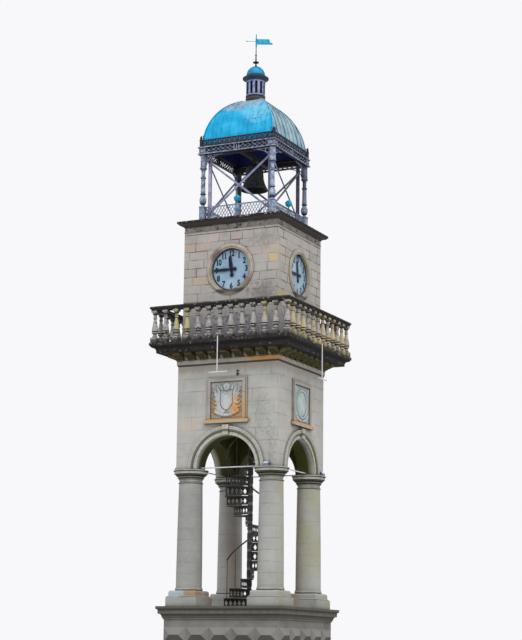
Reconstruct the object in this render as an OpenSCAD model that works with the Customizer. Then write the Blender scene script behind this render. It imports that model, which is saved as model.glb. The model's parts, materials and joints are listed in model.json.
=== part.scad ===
// Free-standing stone clock tower with a cast-iron belfry, all sizes in millimetres
// The origin is on the ground in the middle of the tower, and the front faces -Y

/* [Plinth] */
// Half width of the plinth body
plinth_half = 1450; // [1300:10:1600]
// Height of the plain footing
footing_h = 420; // [300:10:600]
// Courses of diamond-pointed blocks
diamond_courses = 5; // [3:1:6]
// Height of one course of diamond blocks
diamond_course_h = 343; // [250:1:420]
// Blocks in one course of a side
diamonds_per_side = 5; // [3:1:7]
// How far a diamond stands out of the plinth
diamond_out = 70; // [30:5:110]
// Height of the plain band over the diamond blocks
plinth_band_h = 175; // [80:5:300]
// Height of the moulded plinth cornice
plinth_cornice_h = 290; // [200:10:400]
// Half width of the plinth cornice at its top edge
plinth_cornice_half = 1600; // [1560:10:1750]

/* [Columns] */
// Distance of each column from the tower axis, along X and along Y
column_off = 1039; // [990:1:1080]
// Width of the square pedestal under a column
pedestal_w = 790; // [740:5:860]
// Height of that pedestal
pedestal_h = 245; // [150:5:400]
// Width of the lower square base slab
base_slab_w = 690; // [660:5:730]
// Height of the lower square base slab
base_slab_h = 115; // [60:5:180]
// Height of the round base moulding over the slab
base_round_h = 85; // [50:5:130]
// Shaft radius at its foot
shaft_foot_r = 300; // [270:5:315]
// Shaft radius under the capital
shaft_top_r = 274; // [240:2:295]
// Height of the shaft
shaft_h = 2375; // [1900:10:2800]
// Radius of the round abacus
abacus_r = 410; // [390:5:430]
// Thickness of the round abacus
abacus_h = 92; // [80:1:130]
// Height of the capital below its abacus
capital_h = 218; // [200:1:300]

/* [Arch storey] */
// Half width of the arch storey
storey_half = 1297; // [1280:1:1320]
// Thickness of its walls
storey_wall = 430; // [380:10:480]
// Height of its walls over the capitals
storey_h = 2422; // [2200:10:2700]
// Inner radius of the arches
arch_r = 765; // [700:5:790]
// Width of the moulded arch ring
archivolt_w = 205; // [150:5:210]
// How far the arch ring stands out of the wall
archivolt_out = 60; // [40:5:80]
// Width of a keystone at its foot
keystone_w = 130; // [90:5:180]
// Radius of the iron tie rods
tie_r = 14; // [8:1:20]
// Height of the tie rods over the capitals
tie_up = 45; // [30:5:90]
// Width of the framed panels
panel_w = 1050; // [900:10:1150]
// Height of a framed panel's foot over the arch ring
panel_up = 70; // [60:5:160]
// Width of the panel frame
panel_frame_w = 112; // [80:2:140]
// How far the panel frame stands out of the wall
panel_frame_out = 45; // [25:5:70]
// How far the sill under a panel stands out of the wall
sill_out = 80; // [50:5:110]
// Height of that sill
sill_h = 80; // [50:5:110]
// Distance of the panel's top below the string course
panel_drop = 300; // [180:10:380]

/* [Balcony] */
// Height of the string course under the brackets
string_h = 138; // [80:2:200]
// How far the string course stands out of the wall
string_out = 26; // [10:2:50]
// Height of the bracket course
bracket_h = 163; // [120:1:200]
// Brackets on one side
brackets_per_side = 9; // [5:1:11]
// Width of one bracket
bracket_w = 175; // [100:5:190]
// How far a bracket stands out of the wall
bracket_out = 265; // [180:5:300]
// Thickness of the balcony slab
slab_h = 232; // [150:1:260]
// Half width of the balcony slab at its top edge
slab_half = 1815; // [1760:5:1900]
// Radius of the stairwell through the slab
stairwell_r = 680; // [650:5:760]
// Height of the balusters
baluster_h = 776; // [600:1:900]
// Spaces between the balusters of one side, corner to corner
baluster_bays = 12; // [8:1:14]
// Largest radius of a baluster
baluster_r = 77; // [60:1:85]
// Width of the square foot of a baluster
baluster_foot = 140; // [120:5:180]
// Height of the balcony rail
rail_h = 92; // [80:1:140]
// Width of the balcony rail
rail_w = 200; // [170:5:240]

/* [Clock storey] */
// Half width of the clock storey
clock_half = 1233; // [1200:1:1270]
// Thickness of its walls
clock_wall = 300; // [250:10:360]
// Height of its walls
clock_h = 2719; // [2600:10:3000]
// Height of the dial centre over the balcony floor
dial_up = 1745; // [1600:10:1900]
// Radius of the clock dial
dial_r = 500; // [440:5:540]
// Thickness of the dial plate
dial_t = 30; // [20:1:40]
// Depth of the dial's face behind the wall
dial_back = 60; // [45:1:90]
// Outer radius of the stone ring round a dial
dial_ring_r = 619; // [590:1:680]
// How far the stone ring stands out of the wall
dial_ring_out = 42; // [20:1:60]
// Length of the minute hand from its pivot
minute_len = 480; // [420:5:485]
// Length of the hour hand from its pivot
hour_len = 325; // [260:5:340]
// Radius of the minute hand's arbor
arbor_r = 12; // [8:1:14]
// Outer radius of the hour hand's pipe
pipe_r = 22; // [18:1:30]
// Height of the roof cornice
cornice_h = 270; // [200:5:340]
// Half width of the roof cornice at its top edge
cornice_half = 1376; // [1330:2:1440]

/* [Belfry] */
// Distance of the iron belfry floor's edge in from the wall face
belfry_floor_inset = 153; // [80:1:180]
// Thickness of the belfry floor
belfry_floor_t = 36; // [20:2:60]
// Distance of each belfry column in from the wall face, along X and along Y
belfry_inset = 309; // [280:1:340]
// Width of a column pedestal
iron_pedestal_w = 130; // [120:5:160]
// How far its foot moulding stands out
iron_pedestal_lip = 8; // [4:1:12]
// Height of a column pedestal
iron_pedestal_h = 400; // [300:5:430]
// Height of a belfry column over its pedestal
iron_column_h = 1285; // [1200:5:1400]
// Radius of a column shaft
iron_shaft_r = 58; // [50:2:64]
// Radius of a column over its upper ring
iron_post_r = 72; // [64:2:80]
// Height of the lattice railing
lattice_h = 390; // [240:5:420]
// Diamonds along one half of the lattice railing
lattice_n = 10; // [6:1:12]
// Width of a bar of the lattice
lattice_bar = 13; // [10:1:18]
// Height of a rail of the lattice railing
lattice_rail = 26; // [18:1:36]
// Width of the post in the middle of the lattice railing
lattice_post_w = 130; // [60:5:160]
// Thickness of the iron lattice
lattice_t = 14; // [8:1:20]
// Radius of the ball over the front and the right railing
ball_r = 76; // [50:2:90]
// Distance of each bell-frame post in from the wall face
frame_inset = 433; // [430:1:480]
// Width of a bell-frame post
frame_post_w = 70; // [50:5:80]
// Height of the crossing of the braces over the floor
brace_cross_up = 870; // [800:10:940]
// Width of a brace
brace_w = 62; // [40:2:80]
// Height of the pierced frieze
frieze_h = 195; // [150:5:240]
// Crosses along one half of the frieze
frieze_n = 6; // [4:1:8]
// Width of the frieze's corner blocks and of its mouldings' reach
frieze_block_w = 175; // [150:5:190]
// Height of the cresting over the frieze
cresting_h = 190; // [120:5:240]
// Length of the quarter brackets under the frieze
quarter_len = 440; // [300:5:460]
// Height of the quarter brackets
quarter_drop = 265; // [200:5:300]
// Width of a quarter bracket's curved bar
quarter_bar = 24; // [18:1:34]

/* [Bell] */
// Radius of the bell's mouth
bell_r = 336; // [260:2:350]
// Height of the bell without its crown
bell_h = 640; // [480:5:660]
// Height of the bell's mouth over the belfry floor
bell_up = 940; // [800:10:950]
// Thickness of the bell's wall
bell_wall = 26; // [18:1:40]
// Width of the beams that carry the bell
beam_w = 100; // [80:5:120]
// Height of those beams
beam_h = 110; // [80:5:140]

/* [Dome] */
// Half width of the dome at its foot
dome_half = 950; // [880:5:970]
// Height of the dome
dome_h = 1300; // [1200:5:1500]
// Thickness of the dome's shell
dome_wall = 30; // [20:2:50]
// Half width of the flat top under the lantern
dome_top_half = 225; // [200:5:260]

/* [Lantern] */
// Radius of the ring under the lantern drum
lantern_base_r = 245; // [225:1:270]
// Height of that ring
lantern_base_h = 145; // [100:5:180]
// Radius of the slotted drum
drum_r = 236; // [210:1:240]
// Height of the slotted drum
drum_h = 390; // [300:5:460]
// Slots round the drum
drum_slots = 12; // [10:1:18]
// Width of a slot in the drum
slot_w = 62; // [40:2:80]
// Height of the round lantern cornice
lantern_cornice_h = 160; // [100:5:200]
// Radius of the round lantern cornice
lantern_cornice_r = 322; // [290:2:350]
// Radius of the small dome
small_dome_r = 232; // [200:2:245]
// Height of the small dome
small_dome_h = 240; // [200:5:300]
// Radius of the finial rod where the vane turns
rod_r = 9; // [7:1:14]
// Height of the finial over the small dome
finial_h = 840; // [700:10:950]
// Height of the vane's foot over the small dome
vane_up = 548; // [450:1:570]
// Height of the vane's flag
flag_h = 144; // [100:2:200]
// Length of the vane's flag
flag_len = 405; // [300:5:480]
// Length of the vane's pointer
pointer_len = 235; // [180:5:300]

/* [Stair] */
// Steps from the plinth to the balcony floor
stair_steps = 28; // [24:1:32]
// Steps in one full turn
steps_per_turn = 12; // [10:1:14]
// Radius of the stair
stair_r = 600; // [560:5:630]
// Radius of the stair's pole
pole_r = 38; // [30:1:45]
// Thickness of a tread
tread_t = 22; // [14:1:30]
// Direction of the first step, in degrees from +X
stair_turn = 216; // [0:1:359]
// Height of the stair's handrail over the treads
stair_rail_up = 880; // [800:10:950]
// Radius of the handrail tube
stair_rail_r = 19; // [14:1:25]

/* [Fittings] */
// Length of the hanging rods at the balcony
hanger_len = 840; // [600:10:900]
// Radius of a hanging rod
hanger_r = 13; // [8:1:18]
// Width of the cross bar of a hanging rod
hanger_bar = 470; // [300:10:560]
// Width of a small floodlight
lamp_w = 140; // [100:5:160]
// Gap between a floodlight and the arch ring
lamp_gap = 20; // [15:1:60]

/* [Hidden] */

// Facets of round pieces
$fn = 64;
// Gap between round pieces that seat against each other
seat_gap = 0.3;
// Radial play of an arbor in its pipe
running_play = 0.05;

// Levels from the ground up
footing_top = footing_h;
blocks_top = footing_top + diamond_courses * diamond_course_h;
band_top = blocks_top + plinth_band_h;
plinth_top = band_top + plinth_cornice_h;
pedestal_top = plinth_top + pedestal_h;
shaft_foot = pedestal_top + base_slab_h + base_round_h;
shaft_top = shaft_foot + shaft_h;
springing = shaft_top + capital_h + abacus_h;
storey_top = springing + storey_h;
string_top = storey_top + string_h;
slab_bottom = string_top + bracket_h;
slab_top = slab_bottom + slab_h;
rail_bottom = slab_top + baluster_h;
dial_z = slab_top + dial_up;
clock_top = slab_top + clock_h;
cornice_top = clock_top + cornice_h;
belfry_z = cornice_top + belfry_floor_t;
iron_column_z = belfry_z + iron_pedestal_h;
frieze_z = iron_column_z + iron_column_h;
frieze_top = frieze_z + frieze_h;
cresting_top = frieze_top + cresting_h;
dome_top = frieze_top + dome_h;
drum_z = dome_top + lantern_base_h;
lantern_cornice_z = drum_z + drum_h;
small_dome_z = lantern_cornice_z + lantern_cornice_h;
small_dome_top = small_dome_z + small_dome_h;
stair_rise = (slab_top - plinth_top) / stair_steps;

// Places that follow from the wall faces
belfry_floor_half = clock_half - belfry_floor_inset;
belfry_off = clock_half - belfry_inset;
frame_off = clock_half - frame_inset;
frieze_half = belfry_off + frieze_block_w / 2;
arch_ring_r = arch_r + archivolt_w;
panel_foot = springing + arch_ring_r + panel_up;
panel_h = storey_top - panel_drop - panel_foot;
panel_mid = panel_foot + panel_h / 2;
bell_z = belfry_z + bell_up;
beam_z = frieze_z + 6;
beam_top = beam_z + beam_h;
vane_z = small_dome_top + vane_up;

// Stair parts
hub_h = 150;
rail_line = stair_r - 30;

// Colours
stone = "#B4AEA6";
dark_stone = "#4A4846";
iron = "#8A93B5";
dark_iron = "#3A3B42";
blue_copper = "#1FA9DC";
bronze = "#3B3A34";
navy = "#1D2240";

// Quarter curve that leaves upright and ends level, hollow outwards
function hollow(a, b, n = 5) =
    [for (i = [0:n]) [a[0] + (b[0] - a[0]) * (1 - cos(90 * i / n)), a[1] + (b[1] - a[1]) * sin(90 * i / n)]];
// Quarter curve that leaves level and ends upright, round outwards
function round_out(a, b, n = 5) =
    [for (i = [0:n]) [a[0] + (b[0] - a[0]) * sin(90 * i / n), a[1] + (b[1] - a[1]) * (1 - cos(90 * i / n))]];
// Hollow below and round above, as one wave
function wave(a, b, n = 4) = concat(hollow(a, (a + b) / 2, n),
    [for (i = [1:n]) round_out((a + b) / 2, b, n)[i]]);
// Half-round bead on a shaft of radius r from height z0 to z1
function bead(r, out, z0, z1, n = 6) =
    [for (i = [0:n]) [r + out * sin(180 * i / n), (z0 + z1) / 2 - (z1 - z0) / 2 * cos(180 * i / n)]];

// Square moulding with mitred corners, from a profile of [half width, height] points going up
module square_moulding(profile) {
    n = len(profile);
    outline = concat(profile, [for (i = [n - 1:-1:0]) [-profile[i][0], profile[i][1]]]);
    reach = 3 * max([for (p = profile) p[0]]);
    intersection() {
        rotate([90, 0, 0])
            linear_extrude(height = reach, center = true)
                polygon(outline);
        rotate([90, 0, 90])
            linear_extrude(height = reach, center = true)
                polygon(outline);
    }
}

// Square block centred on the axis
module square_block(w, z0, z1) {
    translate([-w / 2, -w / 2, z0])
        cube([w, w, z1 - z0]);
}

// Turned piece from a profile of [radius, height] points going up
module turned(profile) {
    n = len(profile);
    rotate_extrude()
        polygon(concat([[0, profile[0][1]]], profile, [[0, profile[n - 1][1]]]));
}

// Same piece at the four corners of a square
module at_corners(off) {
    for (a = [0:90:270])
        rotate(a)
            translate([off, -off, 0])
                children();
}

// Same piece on the four sides, drawn for the front
module on_sides() {
    for (a = [0:90:270])
        rotate(a)
            children();
}

// Wall of one side with mitred ends, drawn for the front
module mitred_wall(half, wall, z0, z1) {
    translate([0, 0, z0])
        linear_extrude(height = z1 - z0)
            polygon([[-half, -half], [half, -half], [half - wall, wall - half], [wall - half, wall - half]]);
}

// Upright disc or ring seat on the front, from depth y0 out to y1
module facing_disc(r, y0, y1, z) {
    translate([0, -y0, z])
        rotate([90, 0, 0])
            cylinder(r = r, h = y1 - y0);
}

module plinth_footing() {
    color(stone)
        square_block(2 * (plinth_half + diamond_out), 0, footing_h);
}

// Zigzag of n teeth of pitch p and depth out, with flat slopes of run e
function teeth(n, p, e, out) =
    [for (i = [0:n - 1], k = [0:2]) [i * p + [0, e, p - e][k], [0, out, out][k]]];

module diamond_face() {
    span = 2 * plinth_half;
    pitch = span / diamonds_per_side;
    rows = diamond_courses * diamond_course_h;
    seat = 60;
    across = concat([[0, -seat]], teeth(diamonds_per_side, pitch, diamond_course_h / 2, diamond_out),
        [[span, 0], [span, -seat]]);
    upward = concat([[0, -seat]], teeth(diamond_courses, diamond_course_h, diamond_course_h / 2, diamond_out),
        [[rows, 0], [rows, -seat]]);
    intersection() {
        translate([-plinth_half, -plinth_half, footing_top])
            mirror([0, 1, 0])
                linear_extrude(height = rows)
                    polygon(across);
        translate([-plinth_half, -plinth_half, footing_top])
            rotate([90, 0, 90])
                mirror([1, 0, 0])
                    linear_extrude(height = span)
                        polygon([for (p = upward) [p[1], p[0]]]);
    }
}

module plinth_blocks() {
    color(stone) {
        square_block(2 * plinth_half, footing_top, band_top);
        on_sides()
            diamond_face();
    }
}

module plinth_cornice() {
    h = plinth_cornice_h;
    out = plinth_cornice_half;
    fillet = plinth_half + 25;
    color(stone)
        square_moulding(concat(
            [[fillet, band_top], [fillet, band_top + h * 0.14]],
            hollow([fillet + 15, band_top + h * 0.14], [out - 55, band_top + h * 0.42]),
            [[out - 40, band_top + h * 0.42], [out - 40, band_top + h * 0.66]],
            wave([out - 40, band_top + h * 0.66], [out, band_top + h * 0.86]),
            [[out, plinth_top]]));
}

module column_bases() {
    w = pedestal_w / 2;
    chamfer = 45;
    s = base_slab_w / 2;
    top = pedestal_top + base_slab_h;
    color(stone)
        at_corners(column_off) {
            square_moulding([[w, plinth_top], [w, pedestal_top - chamfer], [w - chamfer, pedestal_top]]);
            square_moulding([[s, pedestal_top], [s, top - 40], [s - 10, top - 14], [s - 30, top]]);
            turned(concat([[shaft_foot_r, top]], bead(shaft_foot_r, 22, top, shaft_foot - 18),
                [[shaft_foot_r + 6, shaft_foot - 18], [shaft_foot_r + 6, shaft_foot]]));
        }
}

// Radius of the shaft at a share t of its height, with a slight swelling
function shaft_radius(t) = shaft_foot_r + (shaft_top_r - shaft_foot_r) * pow(t, 1.6);

module column_shafts() {
    bands = 8;
    color(stone)
        at_corners(column_off)
            turned([for (i = [0:bands]) [shaft_radius(i / bands), shaft_foot + shaft_h * i / bands]]);
}

module column_capitals() {
    r = shaft_top_r;
    astragal = shaft_top + 26;
    neck = astragal + 64;
    ovolo = neck + 16;
    abacus_z = springing - abacus_h;
    middle = (ovolo + abacus_z) / 2 - 4;
    band = abacus_r - 22;
    crown = springing - abacus_h * 0.22;
    color(stone)
        at_corners(column_off)
            turned(concat([[r, shaft_top]], bead(r, 18, shaft_top, astragal), [[r - 6, astragal],
                [r - 6, neck],
                [r + 6, neck], [r + 6, ovolo]], round_out([r + 4, ovolo], [r + 36, middle]),
                [[r + 24, middle], [r + 24, middle + 8]], round_out([r + 32, middle + 8],
                    [band - 30, abacus_z - 12]),
                [[band - 42, abacus_z - 12], [band - 42, abacus_z], [band, abacus_z], [band, crown - 14],
                [band - 14, crown - 14], [band - 14, crown], [abacus_r, crown], [abacus_r, springing]]));
}

module arch_wall() {
    difference() {
        mitred_wall(storey_half, storey_wall, springing, storey_top);
        facing_disc(arch_r, storey_half - 2 * storey_wall, storey_half + storey_wall, springing);
    }
}

module front_arch_wall() {
    color(stone)
        arch_wall();
}

module right_arch_wall() {
    color(stone)
        rotate(90)
            arch_wall();
}

module back_arch_wall() {
    color(stone)
        rotate(180)
            arch_wall();
}

module left_arch_wall() {
    color(stone)
        rotate(270)
            arch_wall();
}

// Half width of a keystone at a distance r from the arch's centre
function key_half(r) = keystone_w / 2 * r / arch_r;

// Outline of a keystone between two distances from the arch's centre
module keystone_outline(r0, r1) {
    polygon([[-key_half(r0), r0], [key_half(r0), r0], [key_half(r1), r1], [-key_half(r1), r1]]);
}

module arch_mouldings() {
    outer = arch_ring_r;
    out = archivolt_out;
    fascia = arch_r + archivolt_w * 0.42;
    fillet = arch_r + archivolt_w * 0.84;
    color(stone)
        on_sides()
            translate([0, -storey_half, springing])
                rotate([90, 0, 0])
                    difference() {
                        rotate_extrude()
                            polygon(concat([[arch_r, 0], [arch_r, out * 0.4], [fascia, out * 0.4]],
                                hollow([fascia, out * 0.58], [fillet, out * 0.92]),
                                [[fillet, out], [outer, out], [outer, 0]]));
                        translate([-2 * outer, -2 * outer, -1])
                            cube([4 * outer, 2 * outer, 2 * out]);
                        translate([0, 0, -1])
                            linear_extrude(height = 2 * archivolt_out)
                                keystone_outline(arch_r - 60, outer + 60);
                    }
}

module keystones() {
    color(stone)
        on_sides()
            translate([0, -storey_half, springing])
                rotate([90, 0, 0])
                    linear_extrude(height = archivolt_out + 20)
                        keystone_outline(arch_r, arch_ring_r + panel_up * 0.4);
}

module tie_rods() {
    reach = sqrt(pow(arch_r, 2) - pow(tie_up + tie_r, 2)) - seat_gap;
    color(dark_iron)
        on_sides()
            translate([-reach, -(storey_half - storey_wall / 2), springing + tie_up])
                rotate([0, 90, 0])
                    cylinder(r = tie_r, h = 2 * reach);
}

// Upright rectangle on the front of the arch storey, by its width, height, centre and thickness
module storey_plate(w, h, mid, out) {
    translate([-w / 2, -storey_half - out, mid - h / 2])
        cube([w, out, h]);
}

module panel_frames() {
    step = panel_frame_w * 0.35;
    inner_w = panel_w - 2 * panel_frame_w;
    inner_h = panel_h - 2 * panel_frame_w;
    color(stone)
        on_sides() {
            difference() {
                union() {
                    storey_plate(panel_w, panel_h, panel_mid, panel_frame_out * 0.6);
                    storey_plate(panel_w - 2 * step, panel_h - 2 * step, panel_mid, panel_frame_out);
                }
                translate([0, 50, 0])
                    storey_plate(inner_w, inner_h, panel_mid, 200);
            }
            storey_plate(panel_w + sill_h, sill_h, panel_foot + sill_h / 2, sill_out);
        }
}

module relief_panels() {
    w = panel_w - 2 * panel_frame_w;
    h = panel_h - 2 * panel_frame_w;
    color("#CFCBC6")
        on_sides()
            storey_plate(w, h, panel_mid, panel_frame_out * 0.3);
}

module string_course() {
    half = storey_half + string_out;
    color(dark_stone)
        difference() {
            square_moulding([[storey_half, storey_top], [half, storey_top + string_h * 0.3],
                [half, string_top],
                [storey_half, string_top], [storey_half, slab_bottom]]);
            square_block(2 * (storey_half - storey_wall), storey_top - 1, slab_bottom + 1);
        }
}

module balcony_brackets() {
    reach = storey_half + string_out - bracket_w / 2;
    pitch = 2 * reach / (brackets_per_side - 1);
    front_h = bracket_h * 0.34;
    color(dark_stone)
        on_sides()
            for (i = [0:brackets_per_side - 1])
                translate([-reach + i * pitch - bracket_w / 2, -storey_half, string_top])
                    rotate([90, 0, 90])
                        mirror([1, 0, 0])
                            linear_extrude(height = bracket_w)
                                polygon([[0, 0], [string_out + 18, 0], [string_out + 18, bracket_h * 0.12],
                                    [bracket_out, bracket_h - front_h], [bracket_out, bracket_h],
                                    [0, bracket_h]]);
}

module balcony_slab() {
    fascia = slab_half - 128;
    low = slab_bottom + slab_h * 0.3;
    high = slab_bottom + slab_h * 0.72;
    color(dark_stone)
        difference() {
            square_moulding(concat([[fascia, slab_bottom], [fascia, low]],
                wave([fascia + 10, low], [slab_half - 22, high]), [[slab_half, high],
                    [slab_half, slab_top]]));
            translate([0, 0, slab_bottom - 1])
                cylinder(r = stairwell_r, h = slab_h + 2);
        }
}

// Baluster with a square foot and cap, by the width of its foot
module baluster(foot) {
    h = baluster_h;
    r = baluster_r;
    foot_h = h * 0.165;
    cap_z = h * 0.935;
    color("#8C867A")
        translate([0, 0, slab_top]) {
            square_block(foot, 0, foot_h);
            square_block(r * 1.75, cap_z, h);
            turned(concat(bead(r * 0.6, r * 0.18, foot_h, h * 0.235, 5),
                [[r * 0.55, h * 0.25], [r * 0.55, h * 0.28], [r * 0.95, h * 0.295], [r * 0.95, h * 0.33],
                [r * 0.8, h * 0.335], [r, h * 0.365], [r * 0.96, h * 0.42], [r * 0.8, h * 0.52],
                [r * 0.58, h * 0.63], [r * 0.42, h * 0.74], [r * 0.62, h * 0.75], [r * 0.62, h * 0.785],
                [r * 0.48, h * 0.79], [r * 0.5, h * 0.865]],
                round_out([r * 0.6, h * 0.875], [r * 0.82, cap_z], 4)));
        }
}

module balusters() {
    line = slab_half - rail_w / 2;
    pitch = 2 * line / baluster_bays;
    on_sides() {
        translate([-line, -line, 0])
            baluster(baluster_foot + 20);
        for (i = [1:baluster_bays - 1])
            translate([-line + i * pitch, -line, 0])
                baluster(baluster_foot);
    }
}

module balcony_rail() {
    top = rail_bottom + rail_h;
    color(dark_stone)
        difference() {
            square_moulding([[slab_half - 26, rail_bottom], [slab_half - 26, rail_bottom + rail_h * 0.3],
                [slab_half, rail_bottom + rail_h * 0.45], [slab_half, top - 22], [slab_half - 22, top]]);
            square_block(2 * (slab_half - rail_w), rail_bottom - 1, top + 1);
        }
}

module clock_side() {
    difference() {
        mitred_wall(clock_half, clock_wall, slab_top, clock_top);
        facing_disc(dial_r, clock_half - dial_back - dial_t, clock_half + 10, dial_z);
    }
}

module front_clock_wall() {
    color(stone)
        clock_side();
}

module right_clock_wall() {
    color(stone)
        rotate(90)
            clock_side();
}

module back_clock_wall() {
    color(stone)
        rotate(180)
            clock_side();
}

module left_clock_wall() {
    color(stone)
        rotate(270)
            clock_side();
}

module dial_rings() {
    out = dial_ring_out;
    w = dial_ring_r - dial_r;
    color("#C9B5A0")
        on_sides()
            translate([0, -clock_half, dial_z])
                rotate([90, 0, 0])
                    rotate_extrude()
                        polygon(concat([[dial_r, 0], [dial_r, out * 0.55], [dial_r + w * 0.2, out * 0.55]],
                            [for (i = [0:6]) [dial_r + w * (0.5 - 0.26 * cos(30 * i)),
                                out * (0.6 + 0.4 * sin(30 * i))]],
                            [[dial_ring_r - w * 0.1, out * 0.4], [dial_ring_r, out * 0.3],
                                [dial_ring_r, 0]]));
}

module dials() {
    color("#BFD5E3")
        on_sides()
            difference() {
                facing_disc(dial_r - seat_gap, clock_half - dial_back - dial_t, clock_half - dial_back,
                    dial_z);
                facing_disc(pipe_r + running_play, clock_half - dial_back - 2 * dial_t, clock_half, dial_z);
            }
}

// Place on the dial of one side, with X to the right, Y up and Z out of the dial's face
module on_dial(side) {
    rotate(side)
        translate([0, -(clock_half - dial_back), dial_z])
            rotate([90, 0, 0])
                children();
}

module minute_hand(side) {
    blade_z = 27;
    blade_t = 5;
    wide = 33;
    tail = 95;
    turn = 90;
    color(navy)
        on_dial(side) {
            translate([0, 0, 1 - dial_t])
                cylinder(r = arbor_r, h = dial_t - 1 + blade_z + blade_t + 4);
            translate([0, 0, blade_z])
                rotate(turn)
                    linear_extrude(height = blade_t) {
                        circle(r = wide);
                        polygon([[-wide * 0.4, -tail], [wide * 0.4, -tail], [wide * 0.5, 0],
                            [wide, minute_len * 0.35],
                            [wide * 0.7, minute_len * 0.88], [0, minute_len],
                                [-wide * 0.7, minute_len * 0.88],
                            [-wide, minute_len * 0.35], [-wide * 0.5, 0]]);
                        translate([0, -tail])
                            circle(r = wide * 1.4);
                    }
        }
}

module hour_hand(side) {
    blade_z = 12;
    blade_t = 6;
    wide = 42;
    tail = 135;
    turn = 7.5;
    color(navy)
        on_dial(side)
            difference() {
                union() {
                    translate([0, 0, 1 - dial_t])
                        cylinder(r = pipe_r, h = dial_t - 1 + blade_z + blade_t);
                    translate([0, 0, blade_z])
                        rotate(turn)
                            linear_extrude(height = blade_t) {
                                circle(r = wide);
                                polygon([[-wide * 0.45, -tail], [wide * 0.45, -tail], [wide * 0.8, 0],
                                    [wide * 1.05, hour_len * 0.3], [wide * 0.8, hour_len * 0.93],
                                        [0, hour_len],
                                    [-wide * 0.8, hour_len * 0.93], [-wide * 1.05, hour_len * 0.3],
                                        [-wide * 0.8, 0]]);
                                translate([0, -tail])
                                    circle(r = wide * 1.15);
                            }
                }
                translate([0, 0, -dial_t])
                    cylinder(r = arbor_r + running_play, h = 3 * dial_t);
            }
}

module front_minute_hand() minute_hand(0);
module front_hour_hand() hour_hand(0);
module right_minute_hand() minute_hand(90);
module right_hour_hand() hour_hand(90);
module back_minute_hand() minute_hand(180);
module back_hour_hand() hour_hand(180);
module left_minute_hand() minute_hand(270);
module left_hour_hand() hour_hand(270);

module roof_cornice() {
    h = cornice_h;
    color(dark_stone)
        difference() {
            square_moulding(concat([[clock_half + 10, clock_top], [clock_half + 10, clock_top + 20],
                [clock_half, clock_top + 20], [clock_half, clock_top + h * 0.5]],
                wave([clock_half + 14, clock_top + h * 0.5], [cornice_half - 20, clock_top + h * 0.82]),
                [[cornice_half, clock_top + h * 0.82], [cornice_half, cornice_top]]));
            square_block(2 * (clock_half - clock_wall), clock_top - 1, cornice_top + 1);
        }
}

module belfry_floor() {
    color(dark_iron)
        square_block(2 * belfry_floor_half, cornice_top, belfry_z);
}

// Openwork quarter bracket in the corner of a post and the frieze, as a flat outline
module quarter_outline() {
    n = 8;
    b = quarter_bar;
    low = [b * 0.2, -quarter_drop];
    far = [quarter_len, -b * 0.2];
    outer = hollow(low, far, n);
    inner = hollow([b, -quarter_drop], [quarter_len, -b], n);
    corner = quarter_drop * 0.24;
    intersection() {
        translate([0, -quarter_drop])
            square([quarter_len, quarter_drop]);
        union() {
            polygon(concat(outer, [for (i = [n:-1:0]) inner[i]]));
            translate([corner, -corner])
                difference() {
                    circle(r = corner * 0.98, $fn = 32);
                    circle(r = corner * 0.98 - b * 0.7, $fn = 32);
                }
            square([quarter_len * 0.8, b]);
            translate([0, -b])
                square([quarter_len, b]);
            translate([0, -quarter_drop])
                square([b, quarter_drop]);
        }
    }
}

module belfry_columns() {
    c = iron_column_z;
    r = iron_shaft_r;
    ring_z = c + iron_column_h * 0.73;
    small_ring_z = c + iron_column_h * 0.55;
    w = iron_pedestal_w / 2;
    foot = w + iron_pedestal_lip;
    color(iron)
        at_corners(belfry_off) {
            square_moulding([[foot, belfry_z], [foot, belfry_z + 46], [w, belfry_z + 54], [w, c - 40],
                [foot, c - 32], [foot, c]]);
            turned(concat([[r, c], [r * 0.7, c + 20], [r * 0.6, c + 44]],
                round_out([r * 0.75, c + 50], [r * 1.45, c + 150]), [[r * 1.4, c + 200], [r * 0.9, c + 262],
                [r * 0.75, c + 290]], bead(r * 0.9, 20, c + 294, c + 326),
                [[r, c + 332], [r * 0.86, small_ring_z - 8], [r + 10, small_ring_z],
                    [r + 10, small_ring_z + 26],
                [r * 0.8, small_ring_z + 34], [r * 0.8, ring_z - 70], [r + 6, ring_z - 8],
                    [iron_post_r + 14, ring_z],
                [iron_post_r + 14, ring_z + 28], [iron_post_r, ring_z + 36], [iron_post_r, frieze_z]]));
            for (a = [90, 180])
                rotate(a)
                    translate([iron_post_r - 4, lattice_t / 2, frieze_z])
                        rotate([90, 0, 0])
                            linear_extrude(height = lattice_t)
                                quarter_outline();
        }
}

// Crossed bars in a rectangle, with n crosses along it and rows of them over each other
module crossed_bars(w, h, n, rows, bar) {
    pitch = w / n;
    run = rows * pitch;
    intersection() {
        square([w, h]);
        for (i = [-rows:n], lean = [0, 1])
            translate([i * pitch, 0])
                polygon([[lean * run - bar / 2, 0], [lean * run + bar / 2, 0],
                    [(1 - lean) * run + bar / 2, h],
                    [(1 - lean) * run - bar / 2, h]]);
    }
}

module lattice_railings() {
    reach = belfry_off - iron_pedestal_w / 2 - iron_pedestal_lip;
    mid = lattice_post_w / 2;
    rail = lattice_rail;
    color(iron)
        on_sides()
            translate([0, -belfry_off + lattice_t / 2, belfry_z])
                rotate([90, 0, 0])
                    linear_extrude(height = lattice_t) {
                        for (side = [0, 1])
                            mirror([side, 0])
                                translate([mid, rail])
                                    crossed_bars(reach - mid, lattice_h - 2 * rail, lattice_n, 2.6,
                                        lattice_bar);
                        translate([-reach, 0])
                            square([2 * reach, rail]);
                        translate([-reach, lattice_h - rail])
                            square([2 * reach, rail]);
                        translate([-mid, 0])
                            square([2 * mid, lattice_h]);
                    }
}

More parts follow.
